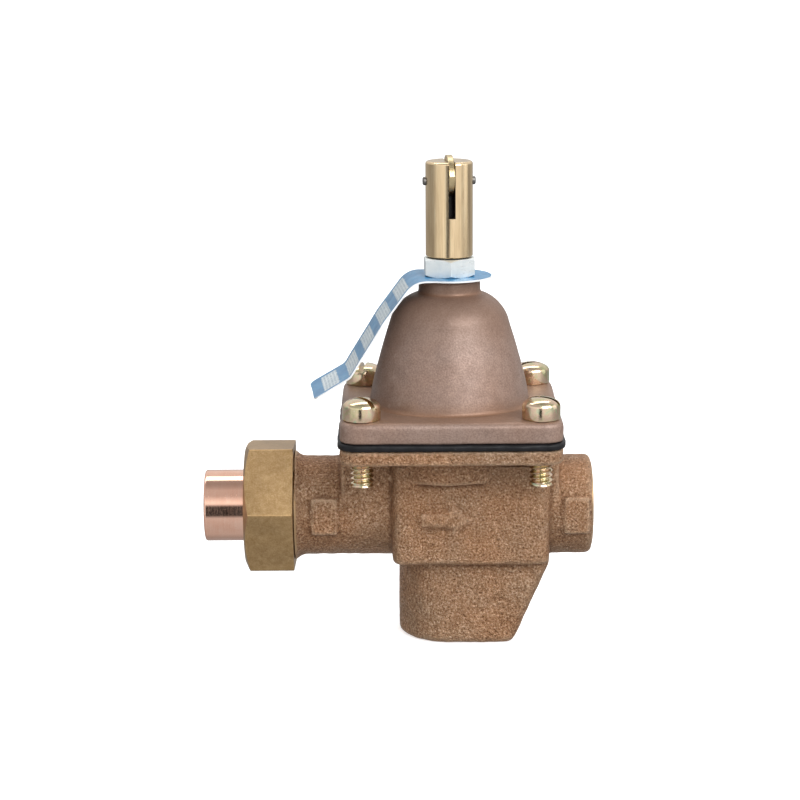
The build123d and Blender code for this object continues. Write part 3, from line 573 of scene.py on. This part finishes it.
def threaded(radius, start, end, pitch, depth, fade_start=1.0, fade_end=1.0):
    """Profile points along a thread, whose depth fades over the given turns at each end."""
    rows_per_turn = 11
    turns = abs(end - start) / pitch
    count = round(turns * rows_per_turn)
    points = []
    for row in range(count + 1):
        done = turns * row / count
        share = 1.0
        if fade_start:
            share = min(share, done / fade_start)
        if fade_end:
            share = min(share, (turns - done) / fade_end)
        points.append((radius, start + (end - start) * row / count, max(depth * share, 1e-7)))
    return points


def plain(*points):
    return [(radius, along, 0) for radius, along in points]


def roughened(mesh, *waves):
    """Moves each point along its normal by smooth noise, given as (height, size) pairs."""
    normals = [normal.vector.copy() for normal in mesh.vertex_normals]
    points = [vertex.co.copy() for vertex in mesh.vertices]
    moved = []
    for point, normal in zip(points, normals):
        shift = sum(height * noise.noise(point / size) for height, size in waves)
        moved.extend(point + normal * shift)
    mesh.vertices.foreach_set("co", moved)
    mesh.update()


def cast(name, mesh, voxel, smoothing, waves, material, body):
    """Casting made from a machined shape: its edges and corners run together as in sand."""
    made = link(name, mesh, [material], None)
    modify(made, "REMESH", mode="VOXEL", voxel_size=voxel, adaptivity=0.0)
    modify(made, "SMOOTH", factor=0.5, iterations=smoothing)
    baked(made)
    roughened(made.data, *waves)
    made.data.materials.clear()
    made.data.materials.append(material)
    made.data.shade_smooth()
    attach(made, body)
    return made


def sliced(mesh, point, normal):
    """Cuts a mesh at a plane, leaves it open there and keeps the side that the normal points to."""
    work = bmesh.new()
    work.from_mesh(mesh)
    everything = list(work.verts) + list(work.edges) + list(work.faces)
    bmesh.ops.bisect_plane(
        work,
        geom=everything,
        dist=1e-7,
        plane_co=point,
        plane_no=normal,
        clear_inner=True,
        clear_outer=False,
    )
    work.to_mesh(mesh)
    work.free()


# axes that pieces are turned round
stem = Matrix.Translation((stem_x, 0, 0))
flow = Matrix.Translation((stem_x, 0, 0)) @ Matrix.Rotation(radians(90), 4, "Y")

# ---------------------------------------------------------------- body casting

bronze = sand_cast_bronze()
machined_bronze = turned_metal(
    "machined_bronze",
    (0.48, 0.30, 0.15),
    (0.74, 0.52, 0.30),
    "x",
    (0.24, 0.40),
    tarnish=(0.36, 0.22, 0.11),
)
outlet_x = outlet_face - stem_x
shoulder_left = -40.5 * mm
spigot_left = body_low.x - stem_x
liner_r = 11.2 * mm
liner_depth = 17.0 * mm

body_mesh = cad_mesh("body")
body_blank = link("body_blank", body_mesh, [bronze], None)
outlet_plug = turned(
    "outlet_plug",
    plain(
        (0, outlet_x - liner_depth),
        (liner_r, outlet_x - liner_depth),
        (liner_r, outlet_x + mm),
        (0, outlet_x + mm),
    ),
    flow,
)
cut_away(body_blank, link("outlet_plug", outlet_plug, [bronze], None))
body_mesh = body_blank.data.copy()
bpy.data.objects.remove(body_blank)
body = cast(
    "cast_body",
    body_mesh,
    0.50 * mm,
    7,
    ((0.10 * mm, 2.2 * mm), (0.16 * mm, 9 * mm)),
    bronze,
    "housing",
)
sliced(body.data, (stem_x + shoulder_left - 0.1 * mm, 0, 0), (1, 0, 0))
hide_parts("body")

bore_r = mounts["outlet"]["dims"]["r_mm"] * mm
outlet_pitch = 25.4 / 14 * mm
outlet_root_r = bore_r + 0.75 * mm
passage_r = 8.0 * mm
liner = turned(
    "outlet_thread",
    plain(
        (liner_r + 0.1 * mm, outlet_x - liner_depth + 0.2 * mm),
        (liner_r + 0.1 * mm, outlet_x - 0.25 * mm),
        (liner_r - 0.1 * mm, outlet_x - 0.02 * mm),
        (bore_r + 0.9 * mm, outlet_x - 0.02 * mm),
    )
    + threaded(outlet_root_r, outlet_x - 0.9 * mm, outlet_x - 15.0 * mm, outlet_pitch, 1.15 * mm, 0, 0.5)
    + plain(
        (bore_r - 0.4 * mm, outlet_x - 15.4 * mm),
        (passage_r, outlet_x - 16.0 * mm),
        (passage_r, outlet_x - liner_depth + 0.2 * mm),
    ),
    flow,
    128,
    outlet_pitch,
)
smooth_but(liner, 40)
link("outlet_thread", liner, [machined_bronze], "housing")

union_pitch = 1.5 * mm
union_r = 13.2 * mm
relief = 0.9 * mm
check_bore_r = 9.0 * mm
spigot = turned(
    "union_spigot",
    plain(
        (check_bore_r, shoulder_left + 4 * mm),
        (check_bore_r, spigot_left),
        (union_r - 0.8 * mm, spigot_left),
    )
    + threaded(union_r, spigot_left + 0.4 * mm, shoulder_left - relief, union_pitch, 0.85 * mm, 0.5, 0.4)
    + plain(
        (union_r - relief, shoulder_left - relief + 0.05 * mm),
        (union_r - relief, shoulder_left),
        (14.20 * mm, shoulder_left),
        (14.35 * mm, shoulder_left + 0.10 * mm),
        (14.1 * mm, shoulder_left + 0.5 * mm),
    ),
    flow,
    128,
    union_pitch,
)
smooth_but(spigot, 40)
link("union_spigot", spigot, [machined_bronze], "housing")

# ---------------------------------------------------------------- bonnet

coating = bonnet_coating()
bonnet = cast(
    "cast_bonnet",
    cad_mesh("bonnet"),
    0.40 * mm,
    6,
    ((0.05 * mm, 3.0 * mm), (0.14 * mm, 14 * mm)),
    coating,
    "housing",
)
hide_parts("bonnet")

# ---------------------------------------------------------------- diaphragm


def rounded_square(half, corner, steps):
    """Closed outline of a rounded square, as (x, y) points at even angles from its middle."""
    points = []
    for step in range(steps):
        angle = 2 * pi * step / steps
        x, y = cos(angle), sin(angle)
        low, high = 0.0, half * 1.5
        for _ in range(40):
            reach = (low + high) / 2
            over_x = max(abs(x) * reach - (half - corner), 0)
            over_y = max(abs(y) * reach - (half - corner), 0)
            if hypot(over_x, over_y) < corner and max(over_x, over_y) < corner:
                low = reach
            else:
                high = reach
        points.append((x * low, y * low))
    return points


def diaphragm_mesh():
    """Square rubber sheet with its middle set down between two plates, and a wavy outer edge."""
    low_corner, high_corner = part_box("diaphragm")
    half = (high_corner.x - low_corner.x) / 2
    middle_low = low_corner.z
    thick = gasket_top - body_top
    steps = 288
    rim_corner = 5.2 * mm
    hole_r = 2.05 * mm
    plates_r = 12.9 * mm
    clamp_r = 17.2 * mm
    rings = []

    def square_ring(inset, z, bulge=0.0):
        points = []
        for x, y in rounded_square(half - inset, max(rim_corner - inset, 1 * mm), steps):
            wave = bulge * noise.noise(Vector((x, y, 0)) / (7 * mm))
            out = 1 + wave / half
            points.append(Vector((stem_x + x * out, y * out, z)))
        rings.append(points)

    def round_ring(radius, z):
        rings.append(
            [
                Vector((stem_x + radius * cos(2 * pi * step / steps), radius * sin(2 * pi * step / steps), z))
                for step in range(steps)
            ]
        )

    round_ring(hole_r, middle_low + thick)
    round_ring(plates_r, middle_low + thick)
    round_ring(14.0 * mm, middle_low + thick + 0.25 * mm)
    round_ring(15.3 * mm, middle_low + thick + 1.6 * mm)
    round_ring(16.3 * mm, gasket_top - 0.25 * mm)
    round_ring(clamp_r, gasket_top)
    square_ring(1.6 * mm, gasket_top)
    square_ring(0.75 * mm, gasket_top)
    square_ring(0.25 * mm, gasket_top - 0.15 * mm, 0.25 * mm)
    square_ring(0.05 * mm, gasket_top - 0.55 * mm, 0.5 * mm)
    square_ring(0.05 * mm, body_top + 0.55 * mm, 0.5 * mm)
    square_ring(0.25 * mm, body_top + 0.15 * mm, 0.25 * mm)
    square_ring(0.75 * mm, body_top)
    square_ring(1.6 * mm, body_top)
    round_ring(clamp_r, body_top)
    round_ring(16.3 * mm, body_top - 0.25 * mm)
    round_ring(15.3 * mm, middle_low + 1.6 * mm)
    round_ring(14.0 * mm, middle_low + 0.25 * mm)
    round_ring(plates_r, middle_low)
    round_ring(hole_r, middle_low)
    verts = [point for ring in rings for point in ring]
    faces = []
    for ring in range(len(rings)):
        here, there = ring * steps, (ring + 1) % len(rings) * steps
        for step in range(steps):
            after = (step + 1) % steps
            faces.append((here + step, here + after, there + after, there + step))
    mesh = bpy.data.meshes.new("diaphragm")
    mesh.from_pydata(verts, [], faces)
    work = bmesh.new()
    work.from_mesh(mesh)
    bmesh.ops.recalc_face_normals(work, faces=work.faces)
    work.to_mesh(mesh)
    work.free()
    smooth_but(mesh, 60)
    return mesh


rubber = black_rubber()
diaphragm = link("rubber_diaphragm", diaphragm_mesh(), [rubber], None)
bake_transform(diaphragm)
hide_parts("diaphragm")

# ---------------------------------------------------------------- cover screws

chromate = yellow_chromate()
screw_pitch = 1.27 * mm
screw_shank_r = 2.95 * mm
screw_head_edge = 31.4 * mm
screw_slot_low = 31.6 * mm
screw_slot_width = 1.3 * mm
screw_slot_turn = {"front_left": -52, "front_right": -20, "rear_left": 80, "rear_right": 25}

for corner, slot_turn in screw_slot_turn.items():
    node = f"cover_screw_{corner}"
    low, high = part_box(node)
    head_r = (high.x - low.x) / 2
    axis = Matrix.Translation(((low.x + high.x) / 2, (low.y + high.y) / 2, 0))
    dome_low = screw_head_edge - 0.25 * mm
    dome = []
    for step in range(9):
        share = step / 8
        r = head_r * cos(share * pi / 2) ** 0.9
        z = dome_low + (high.z - dome_low) * sin(share * pi / 2) ** 0.95
        dome.append((r if step < 8 else 0, z, 0))
    profile = (
        plain((0, low.z), (screw_shank_r - 0.95 * mm, low.z))
        + threaded(screw_shank_r, low.z + 0.25 * mm, body_top, screw_pitch, 0.72 * mm, 0.9, 0.6)
        + plain((screw_shank_r, flange_top - 0.1 * mm), (screw_shank_r, flange_top))
        + plain(
            (head_r - 0.35 * mm, flange_top),
            (head_r - 0.08 * mm, flange_top + 0.12 * mm),
            (head_r, flange_top + 0.4 * mm),
        )
        + dome
    )
    screw_mesh = turned(node, profile, axis, 64, screw_pitch)
    screw = link(f"screw_{corner}", screw_mesh, [chromate], None)
    slot_height = 4 * mm
    slot_place = (
        axis
        @ Matrix.Rotation(radians(slot_turn), 4, "Z")
        @ Matrix.Translation((0, 0, screw_slot_low + slot_height / 2))
        @ Matrix.Diagonal((3 * head_r, screw_slot_width, slot_height, 1))
    )
    slot_tool = bmesh.new()
    bmesh.ops.create_cube(slot_tool, size=1, matrix=slot_place)
    slot_mesh = bpy.data.meshes.new("slot_tool")
    slot_tool.to_mesh(slot_mesh)
    slot_tool.free()
    cut_away(screw, link("slot_tool", slot_mesh, [chromate], None))
    smooth_but(screw.data, 38)
    modify(screw, "BEVEL", width=0.10 * mm, segments=2, limit_method="ANGLE", angle_limit=radians(50))
    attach(screw, "housing")
    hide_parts(node)

# ---------------------------------------------------------------- adjusting screw

brass = sleeve_brass()
shank_brass = turned_metal("shank_brass", (0.58, 0.40, 0.19), (0.86, 0.66, 0.38), "z")
nut_low, nut_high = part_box("lock_nut")
sleeve_foot = nut_high.z + 0.3 * mm
sleeve_mesh = cad_mesh("adjusting_screw")
sliced(sleeve_mesh, (0, 0, sleeve_foot - 0.05 * mm), (0, 0, 1))
smooth_but(sleeve_mesh, 30)
sleeve = link("adjusting_sleeve", sleeve_mesh, [brass], "adjuster")
modify(sleeve, "BEVEL", width=0.14 * mm, segments=2, limit_method="ANGLE", angle_limit=radians(50))
modify(sleeve, "WEIGHTED_NORMAL", keep_sharp=True, weight=100)
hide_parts("adjusting_screw")

shank_pitch = 1.25 * mm
rod_low, rod_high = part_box("push_rod")
rod_hole_r = (rod_high.x - rod_low.x) / 2 + 0.05 * mm
shank = turned(
    "adjusting_thread",
    plain((rod_hole_r, sleeve_foot + 0.6 * mm), (rod_hole_r, sleeve_low.z), (3.3 * mm, sleeve_low.z))
    + threaded(3.95 * mm, sleeve_low.z + 0.3 * mm, sleeve_foot, shank_pitch, 0.70 * mm, 0.8, 0)
    + plain((3.2 * mm, sleeve_foot + 0.01 * mm), (3.2 * mm, sleeve_foot + 0.6 * mm)),
    stem,
    64,
    shank_pitch,
)
smooth_but(shank, 40)
link("adjusting_thread", shank, [shank_brass], "adjuster")

# ---------------------------------------------------------------- instruction tag


def tag_path():
    """The strap's middle line as (distance out, height) points, with its bends rounded."""
    tag_low, tag_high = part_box("instruction_tag")
    seat = bonnet_high.z + 0.25 * mm
    corners = [(-11.0, seat / mm), (10.0, seat / mm), (17.5, 50.6), (26.3, 36.3), (35.6, 30.8)]
    radii = [6.0, 22.0, 3.5]
    points = [Vector(corners[0])]
    for index, radius in enumerate(radii):
        before, here, after = (Vector(corners[index + k]) for k in range(3))
        into, out = (before - here).normalized(), (after - here).normalized()
        half = into.angle(out) / 2
        reach = radius / tan(half)
        centre = here + (into + out).normalized() * (radius / sin(half))
        first, last = here + into * reach, here + out * reach
        start = first - centre
        turn = start.angle_signed(last - centre)
        for step in range(13):
            points.append(centre + Matrix.Rotation(-turn * step / 12, 2) @ start)
    points.append(Vector(corners[-1]))
    return [point * mm for point in points]


def evenly(points, spacing):
    """Points at even distances along a line of points, and its length."""
    steps, total = [0.0], 0.0
    for a, b in zip(points, points[1:]):
        total += (b - a).length
        steps.append(total)
    count = round(total / spacing)
    placed = []
    leg = 0
    for index in range(count + 1):
        target = total * index / count
        while leg < len(points) - 2 and steps[leg + 1] < target:
            leg += 1
        share = (target - steps[leg]) / (steps[leg + 1] - steps[leg])
        placed.append(points[leg].lerp(points[leg + 1], share))
    return placed, total


tag_turn = radians(5.0)
tag_disc_r = 11.0 * mm
tag_strap_half = 10.0 * mm
tag_corner = 1.6 * mm
tag_thick = 0.42 * mm
tag_points, tag_whole = evenly(tag_path(), 0.55 * mm)
tag_length = tag_whole - tag_disc_r


def tag_half_width(out):
    """Half the card's width at a distance from the stem: a disc, then the strap, then round corners."""
    disc = max(tag_disc_r**2 - out**2, 0) ** 0.5
    if out < 0:
        return disc
    width = max(tag_strap_half, disc)
    left = tag_length - out
    if left < tag_corner:
        width -= tag_corner - max(tag_corner**2 - (tag_corner - left) ** 2, 0) ** 0.5
    return width


def tag_mesh():
    """The card as a bent sheet with a little loose curl, and its flat layout as texture coordinates."""
    out_dir = Vector((-cos(tag_turn), -sin(tag_turn), 0))
    side_dir = Vector((sin(tag_turn), -cos(tag_turn), 0))
    up_dir = Vector((0, 0, 1))
    columns = 28
    verts, faces, flat = [], [], []
    count = len(tag_points)
    for index, point in enumerate(tag_points):
        before = tag_points[max(index - 1, 0)]
        after = tag_points[min(index + 1, count - 1)]
        run = (after - before).normalized()
        lift = Vector((-run.y, run.x))
        distance = tag_whole * index / (count - 1) - tag_disc_r
        half = max(tag_half_width(distance), 0.05 * mm)
        for column in range(columns + 1):
            side = -half + 2 * half * column / columns
            loose = min(max(distance / tag_length, 0), 1)
            wave = noise.noise(Vector((distance, side, 0)) / (9 * mm))
            curl = loose * (0.35 * mm * (side / tag_strap_half) ** 2 + 0.12 * mm * wave)
            place = point + lift * curl
            middle = Vector((stem_x, 0, 0)) + out_dir * place.x + side_dir * side + up_dir * place.y
            normal = out_dir * lift.x + up_dir * lift.y
            verts.append(middle + normal * tag_thick / 2)
            verts.append(middle - normal * tag_thick / 2)
            flat.append((distance, side))
            flat.append((distance, side))

    def top(row, column):
        return 2 * (row * (columns + 1) + column)

    for row in range(count - 1):
        for column in range(columns):
            a, b = top(row, column), top(row, column + 1)
            c, d = top(row + 1, column + 1), top(row + 1, column)
            faces.append((a, b, c, d))
            faces.append((a + 1, d + 1, c + 1, b + 1))
    for row in range(count - 1):
        for column in (0, columns):
            a, d = top(row, column), top(row + 1, column)
            faces.append((a, d, d + 1, a + 1) if column == 0 else (a, a + 1, d + 1, d))
    for column in range(columns):
        for row in (0, count - 1):
            a, b = top(row, column), top(row, column + 1)
            faces.append((a, a + 1, b + 1, b) if row == 0 else (a, b, b + 1, a + 1))
    mesh = bpy.data.meshes.new("instruction_tag")
    mesh.from_pydata(verts, [], faces)
    layer = mesh.uv_layers.new(name="strap")
    for loop in mesh.loops:
        layer.data[loop.index].uv = flat[loop.vertex_index]
    work = bmesh.new()
    work.from_mesh(mesh)
    bmesh.ops.recalc_face_normals(work, faces=work.faces)
    work.to_mesh(mesh)
    work.free()
    return mesh


card = tag_print()
card_back = moulded_plastic("tag_back", (0.74, 0.76, 0.78), (0.86, 0.87, 0.88), 0.42)
tag = link("tag", tag_mesh(), [card, card_back], None)
tag_hole_r = 4.1 * mm
tag_hole_reach = 3 * mm
tag_hole = turned(
    "tag_hole",
    plain(
        (0, bonnet_high.z - tag_hole_reach),
        (tag_hole_r, bonnet_high.z - tag_hole_reach),
        (tag_hole_r, bonnet_high.z + tag_hole_reach),
        (0, bonnet_high.z + tag_hole_reach),
    ),
    stem,
    48,
)
cut_away(tag, link("tag_hole", tag_hole, [card_back], None))
out_side = Vector((-cos(tag_turn), -sin(tag_turn), 0))
for face in tag.data.polygons:
    outward = face.normal.dot(out_side) * 0.75 + face.normal.z
    face.material_index = 0 if outward > 0.35 else 1
smooth_but(tag.data, 40)
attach(tag, "housing")
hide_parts("instruction_tag")

# ---------------------------------------------------------------- looks of the CAD nodes that stay

copper = turned_metal("drawn_copper", (0.88, 0.50, 0.36), (0.95, 0.62, 0.48), "x", (0.09, 0.15), 0.00002)
# painted shade: a darker copy of brass for the lever, whose head sits in the sleeve's slot
lever_brass_shaded = turned_metal("lever_brass_shaded", (0.46, 0.35, 0.18), (0.70, 0.57, 0.35), "y", (0.22, 0.36))
turned_brass = turned_metal("turned_brass", (0.56, 0.38, 0.17), (0.84, 0.64, 0.34), "z")
zinc = white_zinc()
nut_brass = union_brass()
dark_steel = turned_metal("dark_steel", (0.10, 0.095, 0.09), (0.26, 0.25, 0.24), "x", (0.30, 0.48))
spring_steel = turned_metal("spring_steel", (0.22, 0.22, 0.23), (0.42, 0.43, 0.45), "z", (0.25, 0.42))
stainless = turned_metal("stainless", (0.42, 0.42, 0.43), (0.66, 0.67, 0.68), "z", (0.22, 0.38))
# painted shade: the push rod is coloured near black so that the sleeve's slot, where it shows, reads dark
painted_shade_rod = turned_metal(
    "painted_shade_rod", (0.012, 0.011, 0.010), (0.050, 0.046, 0.042), "z", (0.40, 0.60), metallic=0.5
)
pale_plastic = moulded_plastic("pale_plastic", (0.66, 0.64, 0.57), (0.80, 0.78, 0.72), 0.45)
fibre = pressed_fibre()

looks = {
    nut_brass: ["union_nut"],
    copper: ["union_tailpiece"],
    zinc: ["lock_nut", "pressure_plate", "spring_button"],
    dark_steel: ["lever_pin"],
    lever_brass_shaded: ["fast_fill_lever"],
    painted_shade_rod: ["push_rod"],
    stainless: ["valve_stem", "strainer_screen"],
    turned_brass: ["thrust_washer", "lower_diaphragm_plate", "stem_nut", "disc_holder", "valve_seat"],
    rubber: ["valve_disc", "check_seal", "check_o_ring"],
    pale_plastic: ["stem_guide", "check_housing", "check_poppet"],
    fibre: ["union_gasket", "seat_ring"],
}
for material, nodes in looks.items():
    for node in nodes:
        mesh = frame["nodes"][node].data
        mesh.materials.clear()
        mesh.materials.append(material)

for node, width in (("lock_nut", 0.12 * mm), ("fast_fill_lever", 0.08 * mm)):
    edges = {"limit_method": "ANGLE", "angle_limit": radians(40)}
    modify(frame["nodes"][node], "BEVEL", width=width, segments=2, **edges)

# ---------------------------------------------------------------- springs


def coil(node, metal):
    """A smoothed copy of a spring's CAD mesh, shown in place of the node."""
    mesh = cad_mesh(node)
    smooth_but(mesh, 40)
    made = link(f"{node}_coil", mesh, [metal], None)
    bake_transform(made)
    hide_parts(node)


coil("main_spring", spring_steel)
coil("bottom_spring", stainless)
coil("check_spring", stainless)

# ---------------------------------------------------------------- studio


def area_light(name, place, target, size, power):
    light = bpy.data.lights.new(name, "AREA")
    light.shape = "RECTANGLE"
    light.size, light.size_y = size
    light.energy = power
    lamp = bpy.data.objects.new(name, light)
    lamp.location = place
    lamp.rotation_euler = (Vector(target) - Vector(place)).to_track_quat("-Z", "Y").to_euler()
    lamp.visible_camera = False
    bpy.context.scene.collection.objects.link(lamp)


middle = Vector((stem_x, 0, 0.02))
area_light("key", middle + Vector((0.42, -0.62, 0.52)), middle, (0.8, 0.5), 7)
area_light("fill", middle + Vector((0.85, -0.05, 0.25)), middle, (0.4, 0.7), 0.6)
area_light("rim", middle + Vector((-0.1, 0.30, 0.75)), middle, (0.9, 0.25), 2)

world = bpy.data.worlds.new("studio")
world.use_nodes = True
tree = world.node_tree
shown = tree.nodes["Background"]
shown.inputs["Color"].default_value = (1, 1, 1, 1)
shown.inputs["Strength"].default_value = 1.0
bpy.context.scene.world = world
bpy.context.scene.view_settings.view_transform = "Standard"


def studio_world():
    """White tent with a duller zenith and floor, and a dark gap where the camera stands.

    Camera rays see plain white.
    """
    nodes, links = tree.nodes, tree.links
    direction = nodes.new("ShaderNodeSeparateXYZ")
    links.new(nodes.new("ShaderNodeTexCoord").outputs["Generated"], direction.inputs[0])

    def scaled(axis, low, high):
        """How far one part of the direction is from low to high, kept between 0 and 1."""
        made = nodes.new("ShaderNodeMapRange")
        links.new(direction.outputs[axis], made.inputs["Value"])
        made.inputs["From Min"].default_value = low
        made.inputs["From Max"].default_value = high
        return made.outputs["Result"]

    def curve(value, *stops):
        ramp = nodes.new("ShaderNodeValToRGB")
        links.new(value, ramp.inputs["Fac"])
        elements = ramp.color_ramp.elements
        while len(elements) < len(stops):
            elements.new(0.5)
        for element, (at, level) in zip(elements, stops):
            element.position = at
            element.color = (*grey(level), 1)
        return ramp.outputs["Color"]

    def times(a, b):
        made = nodes.new("ShaderNodeMath")
        made.operation = "MULTIPLY"
        links.new(a, made.inputs[0])
        links.new(b, made.inputs[1])
        return made.outputs["Value"]

    def mixed(factor, a, b, blend="MIX"):
        made = nodes.new("ShaderNodeMix")
        made.data_type = "RGBA"
        made.blend_type = blend
        for key, value in (("Factor", factor), ("A", a), ("B", b)):
            if isinstance(value, bpy.types.NodeSocket):
                links.new(value, made.inputs[key])
            else:
                made.inputs[key].default_value = value
        return made.outputs["Result"]

    height = scaled("Z", -1, 1)
    side = scaled("X", -1, 1)
    front_tent = curve(
        height,
        (0.0, 0.52),
        (0.30, 0.68),
        (0.40, 0.98),
        (0.58, 1.0),
        (0.68, 1.25),
        (0.75, 1.0),
        (0.84, 0.60),
        (0.95, 0.60),
        (1.0, 0.35),
    )
    rear_tent = curve(height, (0.0, 0.35), (0.50, 0.45), (0.62, 0.75), (0.74, 0.9), (0.90, 0.8), (1.0, 0.4))
    tent = mixed(scaled("Y", 0.05, 0.45), front_tent, rear_tent)
    around = curve(side, (0.0, 0.30), (0.06, 0.80), (0.28, 1.0), (0.60, 1.0), (0.90, 0.95), (1.0, 0.40))
    level_band = curve(height, (0.26, 0), (0.33, 1), (0.58, 1), (0.65, 0))
    upright_band = curve(side, (0.33, 0), (0.40, 1), (0.49, 1), (0.53, 0))
    ahead = times(times(level_band, upright_band), scaled("Y", -0.45, -0.70))
    gap = mixed(ahead, around, (*grey(0.03), 1))
    unseen = nodes.new("ShaderNodeBackground")
    links.new(mixed(1.0, tent, gap, "MULTIPLY"), unseen.inputs["Color"])
    switch = nodes.new("ShaderNodeMixShader")
    links.new(nodes.new("ShaderNodeLightPath").outputs["Is Camera Ray"], switch.inputs["Fac"])
    links.new(unseen.outputs["Background"], switch.inputs[1])
    links.new(shown.outputs["Background"], switch.inputs[2])
    links.new(switch.outputs["Shader"], nodes["World Output"].inputs["Surface"])


studio_world()


def floor_paint():
    s = Shader("floor_paint")
    s.set(
        Base_Color=s.ramp(s.noise(4, 2), (0.4, grey(0.86)), (0.6, grey(0.88))),
        Roughness=0.7,
        Emission_Color=(1, 1, 1, 1),
        Emission_Strength=0.62,
    )
    return s.material


bpy.ops.mesh.primitive_plane_add(size=8, location=(stem_x, 0, floor_z))
floor = bpy.context.object
floor.name = "floor"
floor.data.materials.append(floor_paint())
floor.visible_glossy = False
floor.visible_diffuse = False
